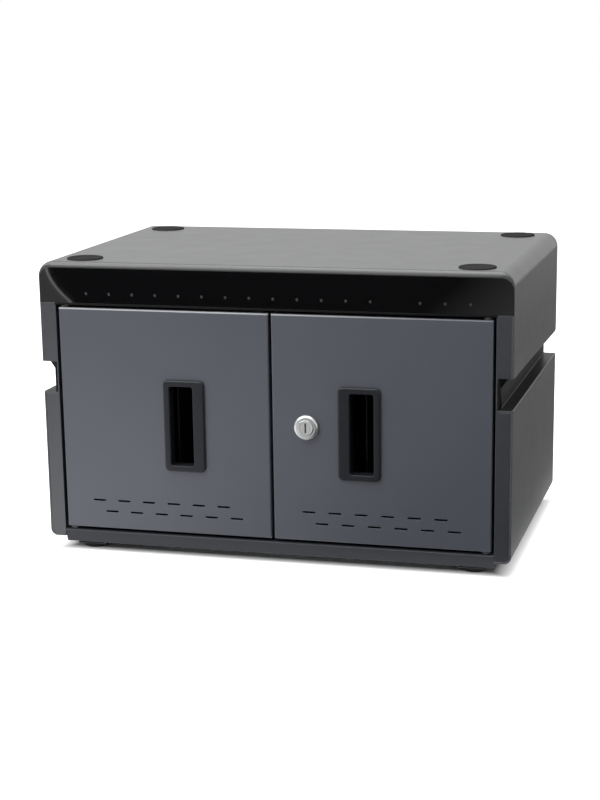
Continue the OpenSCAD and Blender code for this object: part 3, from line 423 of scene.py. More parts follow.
def block(name, low, high, material=None):
    """A box between two corners."""
    outline = [(low[0], low[2]), (high[0], low[2]), (high[0], high[2]), (low[0], high[2])]
    return prism(name, outline, low[1], high[1], material)


def cut(obj, cutter):
    """Takes a cutter out of a piece."""
    modifier = obj.modifiers.new("cut", "BOOLEAN")
    modifier.operation = "DIFFERENCE"
    modifier.solver = "EXACT"
    modifier.object = cutter
    make_plain(obj)
    bpy.data.objects.remove(cutter)
    return obj


# ---- geometry trees for what repeats ----

PATTERN = {"Piece": "Object", "Count": "Int", "Rows": "Int", "Start": "Vector", "Step": "Vector",
           "Row Step": "Vector", "Left Out": "Int", "Finish": "Material"}


def pattern_points(graph, given):
    """Points in rows, each at start + column * step + row * row step, one place left out."""
    total = graph.maths("MULTIPLY", given["Count"], given["Rows"])
    points = graph("GeometryNodePoints", Count=total)
    index = graph("GeometryNodeInputIndex").outputs[0]
    column = graph.maths("MODULO", index, given["Count"])
    row = graph.maths("FLOOR", graph.maths("DIVIDE", index, given["Count"]))
    across = graph("ShaderNodeVectorMath", {"operation": "SCALE"}, i0=given["Step"], Scale=column)
    down = graph("ShaderNodeVectorMath", {"operation": "SCALE"}, i0=given["Row Step"], Scale=row)
    where = graph.vector("ADD", given["Start"], graph.vector("ADD", across.outputs[0], down.outputs[0]))
    moved = graph("GeometryNodeSetPosition", Geometry=points.outputs[0], Position=where)
    left_out = graph.maths("COMPARE", index, given["Left Out"], 0.1)
    kept = graph("GeometryNodeDeleteGeometry", Geometry=moved.outputs[0], Selection=left_out)
    return kept.outputs[0]


def copies_on(graph, given, points, **turned_by):
    """The tree's piece on every point, made real."""
    piece = graph("GeometryNodeObjectInfo", Object=given["Piece"])
    copies = graph("GeometryNodeInstanceOnPoints", Points=points, Instance=piece.outputs["Geometry"],
                   **turned_by)
    return graph("GeometryNodeRealizeInstances", Geometry=copies.outputs[0]).outputs[0]


def finished(graph, given, result, shape):
    """Gives the shape its finish and makes it the tree's result."""
    finish = graph("GeometryNodeSetMaterial", Geometry=shape, Material=given["Finish"])
    graph.tree.links.new(finish.outputs[0], result.inputs[0])
    return graph.tree


def row_tree():
    """Repeats a piece in rows."""
    graph, given, result = shape_tree("repeat_in_rows", PATTERN)
    return finished(graph, given, result, copies_on(graph, given, pattern_points(graph, given)))


def perforation_tree():
    """Punches a piece's shape through the sheet that carries the tree, in rows."""
    graph, given, result = shape_tree("punch_in_rows", PATTERN)
    sheet = graph("GeometryNodeMeshBoolean", {"operation": "DIFFERENCE", "solver": "EXACT"})
    graph.tree.links.new(given["Geometry"], sheet.inputs[0])
    graph.tree.links.new(copies_on(graph, given, pattern_points(graph, given)), sheet.inputs[1])
    return finished(graph, given, result, sheet.outputs[0])


def turn_tree():
    """Repeats a piece around an axis along Y."""
    graph, given, result = shape_tree("repeat_around", {"Piece": "Object", "Count": "Int",
                                                        "Middle": "Vector", "Finish": "Material"})
    points = graph("GeometryNodePoints", Count=given["Count"], Position=given["Middle"])
    index = graph("GeometryNodeInputIndex").outputs[0]
    turn = graph.maths("DIVIDE", graph.maths("MULTIPLY", index, math.tau), given["Count"])
    rotation = graph("FunctionNodeAxisAngleToRotation", Axis=(0, 1, 0), Angle=turn).outputs[0]
    return finished(graph, given, result, copies_on(graph, given, points.outputs[0], Rotation=rotation))


def point_tree():
    """Puts a piece on each point of the object that carries the tree."""
    graph, given, result = shape_tree("piece_at_points", {"Piece": "Object", "Finish": "Material"})
    return finished(graph, given, result, copies_on(graph, given, given["Geometry"]))


REPEAT = row_tree()
PUNCH = perforation_tree()
AROUND = turn_tree()
AT_POINTS = point_tree()


def carried(name, tree, piece, points=((0, 0, 0),), **sizes):
    """A new object that a tree makes from a piece; the piece itself is used up."""
    carrier = mesh_object(name, points, [])
    apply_tree(carrier, tree, piece=piece, **sizes)
    bpy.data.objects.remove(piece)
    return carrier


def repeated(name, piece, finish, count, start, step, rows=1, row_step=(0, 0, 0), left_out=-1):
    """A new object with copies of a piece in rows."""
    return carried(name, REPEAT, piece, count=count, rows=rows, start=start, step=step,
                   row_step=row_step, left_out=left_out, finish=finish)


def punched(sheet, punch, finish, count, start, step, rows=1, row_step=(0, 0, 0), left_out=-1):
    """Punches rows of holes through a sheet; the punch is used up."""
    apply_tree(sheet, PUNCH, piece=punch, count=count, rows=rows, start=start, step=step,
               row_step=row_step, left_out=left_out, finish=finish)
    bpy.data.objects.remove(punch)
    return sheet


# ---- materials ----

def surface(name):
    """A new material: its graph, its shader node and its object coordinates."""
    material = bpy.data.materials.new(name)
    material.use_nodes = True
    graph = Graph(material.node_tree)
    shader = material.node_tree.nodes["Principled BSDF"]
    place_on = graph("ShaderNodeTexCoord").outputs["Object"]
    return material, graph, shader, place_on


def noise(graph, where, scale, detail=3.0, rough=0.55, stretch=None):
    """Noise value over a place, stretched by a factor for each axis where given."""
    if stretch:
        where = graph("ShaderNodeMapping", Vector=where, Scale=stretch).outputs[0]
    node = graph("ShaderNodeTexNoise", Vector=where, Scale=scale, Detail=detail, Roughness=rough)
    return node.outputs[0]


def spread(graph, value, low, high):
    """Takes the middle of a noise value to a range."""
    node = graph("ShaderNodeMapRange", Value=value, From_Min=0.3, From_Max=0.7, To_Min=low, To_Max=high)
    return node.outputs[0]


def tone(graph, factor, low, high):
    """A colour between two."""
    node = graph("ShaderNodeMix", {"data_type": "RGBA"}, i0=factor)
    colours = [s for s in node.inputs if s.type == "RGBA"]
    for socket, colour in zip(colours, (low, high)):
        if isinstance(colour, bpy.types.NodeSocket):
            graph.tree.links.new(colour, socket)
        else:
            socket.default_value = (*colour, 1)
    return next(s for s in node.outputs if s.type == "RGBA")


def bump(graph, height, strength, depth):
    return graph("ShaderNodeBump", Height=height, Strength=strength, Distance=depth).outputs[0]


def shaded(colour, factor):
    return tuple(c * factor for c in colour)


def painted(name, colour, mottle=0.08, rough=(0.42, 0.5), grain_scale=1400, grain=0.25,
            depth=0.05 * MM, specular=0.5, wear=0.35, painted_light_zone=None):
    """Satin paint or moulded plastic: soft mottling, fine grain, edges a little rubbed. A painted light
    zone is a function that marks where light or shade is painted into the colour, that painted colour,
    and its specular level where that is lower."""
    material, graph, shader, where = surface(name)
    cloud = spread(graph, noise(graph, where, 9, 4), 0, 1)
    base = tone(graph, cloud, shaded(colour, 1 - mottle), shaded(colour, 1 + mottle))
    edge = graph("ShaderNodeAttribute", {"attribute_name": "edge"}).outputs["Fac"]
    rubbed = graph.maths("MULTIPLY", edge, spread(graph, noise(graph, where, 120), 0, wear))
    base = tone(graph, rubbed, base, tuple(min(1, c * 2.2 + 0.03) for c in colour))
    shader.inputs["Specular IOR Level"].default_value = specular
    # painted light or shade: the zone's colour replaces the paint where its mark is 1
    if painted_light_zone:
        marked, light_or_shade_colour, dulled = painted_light_zone
        mark = marked(graph, where)
        base = tone(graph, mark, base, light_or_shade_colour)
        if dulled is not None:
            level = graph("ShaderNodeMapRange", Value=mark, To_Min=specular, To_Max=dulled).outputs[0]
            graph.tree.links.new(level, shader.inputs["Specular IOR Level"])
    graph.tree.links.new(base, shader.inputs["Base Color"])
    smear = spread(graph, noise(graph, where, 30, 5), rough[0], rough[1])
    graph.tree.links.new(smear, shader.inputs["Roughness"])
    fine = noise(graph, where, grain_scale, 2)
    graph.tree.links.new(bump(graph, fine, grain, depth), shader.inputs["Normal"])
    return material


def painted_shade_over_opening(graph, where):
    """1 on the lip over the door opening, where shade is painted near black."""
    axes = graph("ShaderNodeSeparateXYZ", Vector=where).outputs
    high = graph.maths("GREATER_THAN", axes["Z"], OPEN_TOP - 0.2 * MM)
    inside = graph.maths("LESS_THAN", graph.maths("ABSOLUTE", axes["X"]), OPEN_HALF + 1 * MM)
    return graph.maths("MULTIPLY", high, inside)


def painted_shade_in_channel(graph, where):
    """1 in the grip channels and behind the front notches, where shade is painted: near black and less
    shiny.
    """
    axes = graph("ShaderNodeSeparateXYZ", Vector=where).outputs
    over = graph.maths("GREATER_THAN", axes["Z"], LEDGE_Z - 0.4 * MM)
    under = graph.maths("LESS_THAN", axes["Z"], NOTCH_TOP)
    inside = graph.maths("LESS_THAN", graph.maths("ABSOLUTE", axes["X"]), HALF_W - 1 * MM)
    return graph.maths("MULTIPLY", graph.maths("MULTIPLY", over, under), inside)


def painted_highlight_on_upper_fold(graph, where):
    """1 along the doors' upper folds, where a highlight is painted, and less so away from the left."""
    axes = graph("ShaderNodeSeparateXYZ", Vector=where).outputs
    fold = graph("ShaderNodeMapRange", Value=axes["Z"], From_Min=DOOR_TOP - 2.2 * MM,
                 From_Max=DOOR_TOP - 1.2 * MM).outputs[0]
    fade = graph("ShaderNodeMapRange", Value=axes["X"], From_Min=-0.05, From_Max=0.2,
                 To_Min=1.0, To_Max=0.15).outputs[0]
    return graph.maths("MULTIPLY", fold, fade)


def metal(name, colour, rough=(0.25, 0.38), stretch=(1, 1, 1), scale=300, grain=0.15, mottle=0.06):
    """Bare or plated metal with fine brush marks along one axis."""
    material, graph, shader, where = surface(name)
    cloud = spread(graph, noise(graph, where, 25, 4), 0, 1)
    graph.tree.links.new(tone(graph, cloud, shaded(colour, 1 - mottle), shaded(colour, 1 + mottle)),
                         shader.inputs["Base Color"])
    marks = noise(graph, where, scale, 3, stretch=stretch)
    graph.tree.links.new(spread(graph, marks, rough[0], rough[1]), shader.inputs["Roughness"])
    graph.tree.links.new(bump(graph, marks, grain, 0.02 * MM), shader.inputs["Normal"])
    shader.inputs["Metallic"].default_value = 1
    return material


def shell_plastic():
    # Painted shade: the grip channels and their ledges are made near black, with a lower specular level.
    return painted("moulded_shell", (0.055, 0.056, 0.058), mottle=0.04, rough=(0.37, 0.4),
                   grain_scale=1800, grain=0.18, specular=0.6,
                   painted_light_zone=(painted_shade_in_channel, (0.008, 0.008, 0.009), 0.1))


def frame_plastic():
    # Painted shade: the lip over the door opening is made near black, with a lower specular level.
    return painted("moulded_frame", (0.027, 0.0295, 0.037), mottle=0.04, rough=(0.36, 0.4),
                   grain_scale=1800, grain=0.18, specular=0.9,
                   painted_light_zone=(painted_shade_over_opening, (0.006, 0.006, 0.007), 0.15))


def door_paint():
    # Painted highlight: a light band along the doors' upper folds, fading away from the left.
    return painted("door_powder_coat", (0.058, 0.0635, 0.083), mottle=0.04, rough=(0.4, 0.44),
                   grain_scale=2200, grain=0.2, specular=0.8,
                   painted_light_zone=(painted_highlight_on_upper_fold, (0.34, 0.35, 0.37), None))


def sill_paint():
    return painted("sill_powder_coat", (0.032, 0.034, 0.041), mottle=0.04, rough=(0.42, 0.46),
                   grain_scale=2200, grain=0.2, specular=0.25)


def panel_paint():
    return painted("rear_powder_coat", (0.07, 0.072, 0.078), mottle=0.07, rough=(0.5, 0.6),
                   grain_scale=1500, grain=0.4)


def handle_plastic():
    return painted("handle_moulding", (0.011, 0.012, 0.016), mottle=0.06, rough=(0.36, 0.42),
                   grain_scale=2000, grain=0.12, specular=0.3)


def black_plastic():
    return painted("black_moulding", (0.03, 0.03, 0.033), mottle=0.1, rough=(0.45, 0.55),
                   grain_scale=1500, grain=0.3)


def rubber_finish():
    return painted("rubber", (0.036, 0.036, 0.037), mottle=0.1, rough=(0.8, 0.95), grain_scale=900,
                   grain=0.4, specular=0.0, wear=0.2)


def foot_rubber():
    return painted("foot_rubber", (0.03, 0.03, 0.03), mottle=0.15, rough=(0.7, 0.85), grain_scale=900,
                   grain=0.5, specular=0.3, wear=0.2)


def bezel_gloss():
    return painted("glossy_strip", (0.002, 0.002, 0.0025), mottle=0.1, rough=(0.02, 0.03),
                   grain_scale=60, grain=0.002, specular=0.45, wear=0.0)


def rocker_finish():
    return painted("rocker_moulding", (0.32, 0.02, 0.015), mottle=0.05, rough=(0.2, 0.28),
                   grain_scale=900, grain=0.05)


def nylon_finish():
    return painted("nylon", (0.05, 0.05, 0.055), mottle=0.04, rough=(0.45, 0.55), grain_scale=900,
                   grain=0.1)


def magnet_finish():
    return painted("magnet_case", (0.03, 0.03, 0.03), mottle=0.1, rough=(0.5, 0.6))


def lock_metal():
    return metal("satin_nickel", (0.66, 0.67, 0.665), rough=(0.28, 0.38), scale=900)


def zinc_metal():
    return metal("zinc_plate", (0.48, 0.49, 0.5), rough=(0.35, 0.5), stretch=(1, 1, 12), scale=200)


def contact_metal():
    return metal("nickel_contacts", (0.72, 0.71, 0.68), rough=(0.2, 0.3), scale=800)


def window_plastic():
    """Frosted light windows, unlit."""
    material, graph, shader, where = surface("light_window")
    cloud = spread(graph, noise(graph, where, 600), 0, 1)
    graph.tree.links.new(tone(graph, cloud, (0.03, 0.03, 0.032), (0.045, 0.045, 0.046)),
                         shader.inputs["Base Color"])
    graph.tree.links.new(spread(graph, noise(graph, where, 900), 0.5, 0.6), shader.inputs["Roughness"])
    graph.tree.links.new(bump(graph, noise(graph, where, 2500), 0.1, 0.05 * MM), shader.inputs["Normal"])
    shader.inputs["Specular IOR Level"].default_value = 0.3
    return material


def board_finish():
    """Green solder mask with faint tracks."""
    material, graph, shader, where = surface("circuit_board")
    lines = graph("ShaderNodeTexWave", {"bands_direction": "X"}, Vector=where, Scale=160, Distortion=2.0)
    tracks = graph("ShaderNodeMapRange", Value=lines.outputs["Fac"], From_Min=0.7, From_Max=0.8)
    graph.tree.links.new(tone(graph, tracks.outputs[0], (0.01, 0.09, 0.04), (0.03, 0.17, 0.08)),
                         shader.inputs["Base Color"])
    graph.tree.links.new(spread(graph, noise(graph, where, 200), 0.25, 0.4), shader.inputs["Roughness"])
    graph.tree.links.new(bump(graph, tracks.outputs[0], 0.3, 0.05 * MM), shader.inputs["Normal"])
    return material


SHELL = shell_plastic()
FRAME = frame_plastic()
DOOR = door_paint()
SILL = sill_paint()
PANEL = panel_paint()
HANDLE = handle_plastic()
BLACK = black_plastic()
PAD_RUBBER = rubber_finish()
FOOT_RUBBER = foot_rubber()
GLOSS = bezel_gloss()
ROCKER = rocker_finish()
NYLON = nylon_finish()
MAGNET = magnet_finish()
NICKEL = lock_metal()
ZINC = zinc_metal()
CONTACT = contact_metal()
WINDOW = window_plastic()
BOARD = board_finish()


# ---- moulded case ----

def shell_path(inset, strip_inset, top, top_r, low_r):
    """Half of the upper shell's outline in X-Z, from the lip over the grip channel to the middle,
    with its own inset beside the glossy strip; a point's third value is 1 on the top, 0 on the side."""
    low, side, beside = GRIP_TOP + inset, HALF_W - inset, HALF_W - strip_inset
    steps = 14
    points = [(GRIP_HALF, low, 0.0), (HALF_W - LOW_EDGE_R, low, 0.0)]
    points += [(side - low_r + low_r * math.sin(turn), low + low_r - low_r * math.cos(turn), 0.0)
               for turn in quarter(8)[1:]]
    points += [(side, STRIP_LOW - 10 * HAIR, 0.0), (beside, STRIP_LOW, 0.0)]
    points += [(beside - top_r + top_r * math.cos(turn), top - top_r + top_r * math.sin(turn), k / steps)
               for k, turn in enumerate(quarter(steps))]
    return points + [(HALF_W / 2, top, 1.0), (0.0, top, 1.0)]


def whole_path(half):
    """Both halves of an outline, from one lip to the other."""
    return half + [(-x, z, w) for x, z, w in reversed(half[:-1])]


def nose_ring(outer, turn):
    """The outer path drawn back and in around the front edge, by a turn of up to a quarter."""
    ring = []
    for x, z, w in outer:
        r = SIDE_NOSE_R + (NOSE_R - SIDE_NOSE_R) * w
        drop = r * (1 - math.sin(turn))
        side = (1 - w) * drop * math.copysign(1, x) if abs(x) > CORNER_X else 0
        under = z < GRIP_TOP + LOW_EDGE_R / 2
        ring.append((x if under else x - side, FRONT_Y + r * (1 - math.cos(turn)),
                     z + drop if under else z - drop * w))
    return ring


def at_y(path, y):
    return [(x, y, z) for x, z, _ in path]


def shell_stations():
    """Rings of outer and inner points along the shell, from its rounded nose to the rear."""
    thin_r, low_r = TOP_EDGE_R - SHELL_WALL, LOW_EDGE_R - SHELL_WALL
    outer = whole_path(shell_path(0, 0, CASE_H, TOP_EDGE_R, LOW_EDGE_R))
    thin = whole_path(shell_path(SHELL_WALL, SHELL_WALL, CASE_H - SHELL_WALL, thin_r, low_r))
    brow = whole_path(shell_path(SHELL_WALL, SHELL_WALL, STRIP_TOP, thin_r, low_r))
    rim = whole_path(shell_path(SHELL_WALL, STRIP_RIM, STRIP_TOP, STRIP_R, low_r))
    steps = 6
    stations = [nose_ring(outer, turn) + at_y(rim, FRONT_Y + STRIP_D * k / steps)
                for k, turn in enumerate(quarter(steps))]
    strip_y, frame_y = FRONT_Y + STRIP_D, FRONT_Y + FRAME_D
    for k, (inner, y) in enumerate(((brow, strip_y + HAIR), (brow, frame_y), (thin, frame_y + HAIR)), 1):
        stations.append(at_y(outer, FRONT_Y + NOSE_R + 20 * k * HAIR) + at_y(inner, y))
    stations.append(at_y(outer, REAR_Y) + at_y(thin, REAR_Y))
    return stations, len(outer)


def notch_cutters():
    """Blocks that cut the front corners out behind the front frame's legs."""
    past = 2 * MM
    low, high = FRONT_Y - past, FRONT_Y + FRAME_D
    return [block("notch_cut", (x0, low, GRIP_TOP - past), (x1, high, NOTCH_TOP), SHELL)
            for x0, x1 in ((-HALF_W - past, -CORNER_X), (CORNER_X, HALF_W + past))]


def end_wall(side):
    """The wall that closes the shell behind a front notch."""
    path = shell_path(SEAT, SEAT, CASE_H, TOP_EDGE_R, LOW_EDGE_R - SEAT)[:10]
    outline = [(x, z) for x, z, _ in path]
    outline += [(HALF_W - SEAT, NOTCH_TOP + SHELL_WALL), (GRIP_HALF, NOTCH_TOP + SHELL_WALL)]
    front = FRONT_Y + FRAME_D
    return prism("end_wall", [(side * x, z) for x, z in outline], front, front + SHELL_WALL, SHELL)


def screw_ears(side):
    """Ears for the rear screws: two on the side and one under the top."""
    beside = side * (HALF_W - SHELL_WALL - EAR / 2 + SEAT)
    under = CASE_H - SHELL_WALL - EAR / 2 + SEAT
    rear = REAR_Y - EAR_SETBACK
    half = EAR / 2
    places = ((beside, GRIP_TOP + EAR_RISE), (beside, CASE_H - 2 * TOP_EDGE_R), (side * EAR_X, under))
    return [block("ear", (x - half, rear - EAR_D, z - half), (x + half, rear, z + half), SHELL)
            for x, z in places]


def raised_lips(shell):
    """Lets the outer edges of the lips rise towards the front, so that the grips open up."""
    start = FRONT_Y + FRAME_D
    edge = NOTCH_TOP - 30 * HAIR
    inner = GRIP_HALF + 60 * HAIR
    for vert in shell.data.vertices:
        if vert.co.z < edge and abs(vert.co.x) > inner:
            ahead = min(1, (REAR_Y - vert.co.y) / (REAR_Y - start))
            vert.co.z += (edge - vert.co.z) * ahead
    return shell


def sheet_faces(rings, count):
    """Faces of a thick sheet whose rings each hold their outer and then their inner points."""
    faces = []
    for s in range(rings - 1):
        a, b = s * 2 * count, (s + 1) * 2 * count
        for i in range(count - 1):
            faces.append((a + i, a + i + 1, b + i + 1, b + i))
            faces.append((a + count + i, b + count + i, b + count + i + 1, a + count + i + 1))
        for i in (0, count - 1):
            faces.append((a + i, b + i, b + count + i, a + count + i))
    last = (rings - 1) * 2 * count
    for i in range(count - 1):
        faces.append((i, count + i, count + i + 1, i + 1))
        faces.append((last + i, last + i + 1, last + count + i + 1, last + count + i))
    return faces


def upper_shell():
    """The moulded top: one outline carried to the rear, with a rounded nose and notched corners."""
    stations, count = shell_stations()
    points = [p for ring in stations for p in ring]
    shell = outward(mesh_object("upper_shell_piece", points, sheet_faces(len(stations), count), SHELL))
    cut(shell, joined("notch_cuts", notch_cutters()))
    rounded_edges(shell, 0.4 * MM, 2, 60)
    walls_and_ears = [piece for side in (-1, 1) for piece in (end_wall(side), *screw_ears(side))]
    fillings = rounded_edges(joined("fillings", walls_and_ears), 0.3 * MM, 2, 60)
    whole = raised_lips(joined("upper_shell_piece", [shell, fillings]))
    place(whole, "cabinet", "shell_plastic", "upper_shell")


def lower_sides():
    """The moulded lower sides, with softer edges than the rest."""
    for node in ("lower_side_left", "lower_side_right"):
        place(dressed(node, SHELL, 0.8 * MM, 3), "cabinet", "shell_plastic", node)


def glossy_strip():
    """The polished strip: round top corners, and a row of punched holes for the lights."""
    half = HALF_W - STRIP_RIM - RUN
    top = STRIP_TOP - RUN
    side = [(half, STRIP_LOW)]
    side += [(half - STRIP_R + STRIP_R * math.cos(turn), top - STRIP_R + STRIP_R * math.sin(turn))
             for turn in quarter(12)]
    line = side + [(-x, z) for x, z in reversed(side)]
    strip = prism("front_bezel_piece", line, FRONT_Y, FRONT_Y + STRIP_D, GLOSS)
    hole, reach = LIGHT_R + RUN, 5 * MM
    punch = turned("light_punch", [(0, -reach), (hole, -reach), (hole, reach)], (0, 0, 0), GLOSS, 24)
    punched(strip, punch, GLOSS, LIGHT_COUNT, LIGHT_START, (LIGHT_PITCH, 0, 0), left_out=LIGHT_GAP)
    place(polished_edges(strip, 0.3 * MM), "cabinet", "bezel_gloss", "front_bezel")


def status_lights():
    """Domed windows in a row, one place left out."""
    low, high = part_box("led_lenses")
    depth = high.y - low.y
    lens = turned("light_lens", [(0, 0), (LIGHT_R * 0.55, -0.35 * MM), (LIGHT_R * 0.85, -0.15 * MM),
                                 (LIGHT_R, 0.15 * MM), (LIGHT_R, depth)], (0, 0, 0), WINDOW, 24)
    start = (LIGHT_START[0], low.y + 0.2 * MM, LIGHT_START[2])
    row = repeated("status_lights", lens, WINDOW, LIGHT_COUNT, start, (LIGHT_PITCH, 0, 0),
                   left_out=LIGHT_GAP)
    place(smooth(row), "cabinet", "light_window", "led_lenses")


def discs(node, radius, profile, finish, steps):
    """A turned disc at each corner of a node's box."""
    low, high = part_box(node)
    disc = turned("disc", profile, (0, 0, 0), finish, steps, along="z")
    start = (low.x + radius, low.y + radius, low.z)
    step = (high.x - low.x - 2 * radius, 0, 0)
    row_step = (0, high.y - low.y - 2 * radius, 0)
    row = repeated(node + "_piece", disc, finish, 2, start, step, 2, row_step)
    place(smooth(row, 30), "cabinet", "rubber", node)


def stacking_pads():
    """Round pads on the top, each with a shallow dish."""
    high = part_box("stacking_pads")[1].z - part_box("stacking_pads")[0].z
    profile = [(0, 0), (PAD_R, 0), (PAD_R, high * 0.6), (PAD_R - 0.3 * MM, high * 0.85),
               (PAD_R - 1 * MM, high), (PAD_DISH_R + 0.6 * MM, high), (PAD_DISH_R, high * 0.8),
               (PAD_DISH_R - 0.6 * MM, high * 0.5)]
    discs("stacking_pads", PAD_R, profile, PAD_RUBBER, 64)


def rubber_feet():
    """Round feet, a little narrower where they stand."""
    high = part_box("rubber_feet")[1].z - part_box("rubber_feet")[0].z
    profile = [(0, 0), (FOOT_R - 1.8 * MM, 0), (FOOT_R - 1.2 * MM, 0.2 * MM),
               (FOOT_R - 0.1 * MM, high * 0.45), (FOOT_R, high * 0.55), (FOOT_R, high)]
    discs("rubber_feet", FOOT_R, profile, FOOT_RUBBER, 48)


# ---- doors ----

def slot_punch(length, height, depth):
    """A punch with round ends, through a sheet lying in X-Z."""
    outline = []
    for side in (1, -1):
        for k in range(9):
            turn = -math.pi / 2 + math.pi * k / 8 + (0 if side > 0 else math.pi)
            outline.append((side * (length - height) / 2 + height / 2 * math.cos(turn),
                            height / 2 * math.sin(turn)))
    return prism("punch", outline, -depth, depth)


def door_pan(name, low, high):
    """A folded pan: a plate with a rounded fold round its edge, open at the rear."""
    bm = bmesh.new()
    bmesh.ops.create_cube(bm, size=1, matrix=Matrix.Translation((low + high) / 2)
                          @ Matrix.Diagonal((*(high - low), 1)))
    rear = [f for f in bm.faces if f.calc_center_median().y > high.y - 1e-5]
    bmesh.ops.delete(bm, geom=rear, context="FACES_ONLY")
    front = [e for e in bm.edges if all(v.co.y < low.y + 1e-5 for v in e.verts)]
    bmesh.ops.bevel(bm, geom=front, offset=DOOR_FOLD_R, segments=6, profile=0.5, affect="EDGES")
    pan = from_bmesh(name, bm, DOOR)
    wall = pan.modifiers.new("sheet", "SOLIDIFY")
    wall.thickness = DOOR_SHEET
    wall.offset = -1
    wall.use_even_offset = True
    make_plain(pan)
    return pan


def door(side, node, slot_cutters):
    """A door pan with its window, its hinge holes, its vents and what else is cut from it."""
    low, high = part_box(node)
    pan = door_pan(node + "_piece", low, high)
    middle = (low.x + high.x) / 2
    window = rounded_outline(WINDOW_W + 2 * SLEEVE_T, WINDOW_H + 2 * SLEEVE_T, WINDOW_R + SLEEVE_T,
                             (side * (HANDLE_X + WINDOW_SHIFT), HANDLE_Z))
    cutters = [prism("window_cut", window, FRONT_Y - 2 * MM, FRONT_Y + PAST, DOOR)]
    for z in (low.z, high.z):
        cutters.append(turned("bush_cut", [(0, -PAST), (BUSH_R, -PAST), (BUSH_R, PAST)],
                              (side * HINGE_X, FRONT_Y + HINGE_SETBACK, z), DOOR, 32, along="z"))
    cut(pan, joined("door_cuts", cutters + slot_cutters))
    start = (middle - (VENT_COUNT - 1) / 2 * VENT_PITCH - VENT_STAGGER, FRONT_Y, VENT_UPPER_Z)
    punched(pan, slot_punch(VENT_L, VENT_H, PAST), DOOR, VENT_COUNT, start, (VENT_PITCH, 0, 0), 2,
            (2 * VENT_STAGGER, 0, -VENT_ROW_GAP))
    rounded_edges(pan, 0.25 * MM, 2, 50)
    return pan


def left_door():
    """The left door, with a slot for its bolt in the upper return."""
    bolt_cut = block("bolt_cut", (BOLT_SLOT_X[0], FRONT_Y + BOLT_SLOT_Y[0], DOOR_TOP - PAST),
                     (BOLT_SLOT_X[1], FRONT_Y + BOLT_SLOT_Y[1], DOOR_TOP + PAST), DOOR)
    place(door(-1, "left_door", [bolt_cut]), "left_door", "door_steel", "left_door")


def right_door():
    """The right door, bored for the lock."""
    hole = BARREL_R + RUN
    lock_cut = turned("lock_cut", [(0, -PAST), (hole, -PAST), (hole, PAST)],
                      (LOCK_X, FRONT_Y, LOCK_Z), DOOR, 48)
    place(door(1, "right_door", [lock_cut]), "right_door", "door_steel", "right_door")


def handle_frame(side, node, body):
    """A moulded window frame: a rounded band, a soft inner edge and a sleeve through the door."""
    middle = (side * HANDLE_X, HANDLE_Z)
    window = (side * (HANDLE_X + WINDOW_SHIFT), HANDLE_Z)

    def outer_ring(inset, out):
        line = rounded_outline(HANDLE_W - 2 * inset, HANDLE_H - 2 * inset, HANDLE_R - inset, middle, 8)
        return [(x, FRONT_Y - out, z) for x, z in line]

    def inner_ring(grow, out):
        line = rounded_outline(WINDOW_W + 2 * grow, WINDOW_H + 2 * grow, WINDOW_R + grow, window, 8)
        return [(x, FRONT_Y - out, z) for x, z in line]

    proud = HANDLE_PROUD
    rings = [outer_ring(0, 0), outer_ring(0, proud - 1.6 * MM), outer_ring(0.15 * MM, proud - 1.1 * MM),
             outer_ring(0.5 * MM, proud - 0.6 * MM), outer_ring(1 * MM, proud - 0.3 * MM),
             outer_ring(1.4 * MM, proud - 0.05 * MM), outer_ring(2.1 * MM, proud),
             inner_ring(1.3 * MM, proud), inner_ring(0.6 * MM, proud - 0.15 * MM),
             inner_ring(0.15 * MM, proud - 0.6 * MM), inner_ring(0, proud - 1.3 * MM),
             inner_ring(0, -SLEEVE_D), inner_ring(SLEEVE_T, -SLEEVE_D), inner_ring(SLEEVE_T, 0)]
    points = [p for ring in rings for p in ring]
    faces = ring_faces(len(rings), len(rings[0]), closed=True)
    piece = rounded_edges(outward(mesh_object(node + "_piece", points, faces, HANDLE)), 0.2 * MM, 2, 60)
    place(piece, body, "handle_plastic", node)


def lock_body():
    """The lock's turned rose and barrel, bored for its core."""
    bore = PLUG_R + RUN
    profile = [(bore, -ROSE_H + 0.4 * MM), (PLUG_R + 0.5 * MM, -ROSE_H), (ROSE_R - 3.2 * MM, -ROSE_H),
               (ROSE_R - 2.2 * MM, -ROSE_H + 0.15 * MM), (ROSE_R - 1.3 * MM, -ROSE_H + 0.6 * MM),
               (ROSE_R - 0.5 * MM, -ROSE_H + 1.4 * MM), (ROSE_R, -ROSE_H + 2.4 * MM), (ROSE_R, 0),
               (BARREL_R, 0), (BARREL_R, BARREL_L - 0.5 * MM), (BARREL_R - 0.5 * MM, BARREL_L),
               (bore, BARREL_L)]
    body = turned("lock_body_piece", profile, (LOCK_X, FRONT_Y, LOCK_Z), NICKEL, 96)
    place(smooth(body, 30), "right_door", "lock_metal", "lock_body")


def lock_plug():
    """The lock's turning core, with its key slot."""
    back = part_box("lock_plug")[1].y - FRONT_Y
    front = -ROSE_H - PLUG_OUT
    profile = [(0, back), (PLUG_R, back), (PLUG_R, front + 0.4 * MM), (PLUG_R - 0.4 * MM, front),
               (PLUG_R - 1.6 * MM, front), (PLUG_R - 1.9 * MM, front + 0.35 * MM)]
    plug = turned("lock_plug_piece", profile, (LOCK_X, FRONT_Y, LOCK_Z), NICKEL, 96)
    face = FRONT_Y + front
    cut(plug, block("key_cut", (LOCK_X - KEY_SLOT_W / 2, face - 1 * MM, LOCK_Z - KEY_SLOT_L / 2),
                    (LOCK_X + KEY_SLOT_W / 2, face + KEY_SLOT_D, LOCK_Z + KEY_SLOT_L / 2), NICKEL))
    rounded_edges(plug, 0.12 * MM, 2, 50)
    place(plug, "lock_core", "lock_metal", "lock_plug")


# ---- what keeps its solid's shape, and small parts ----

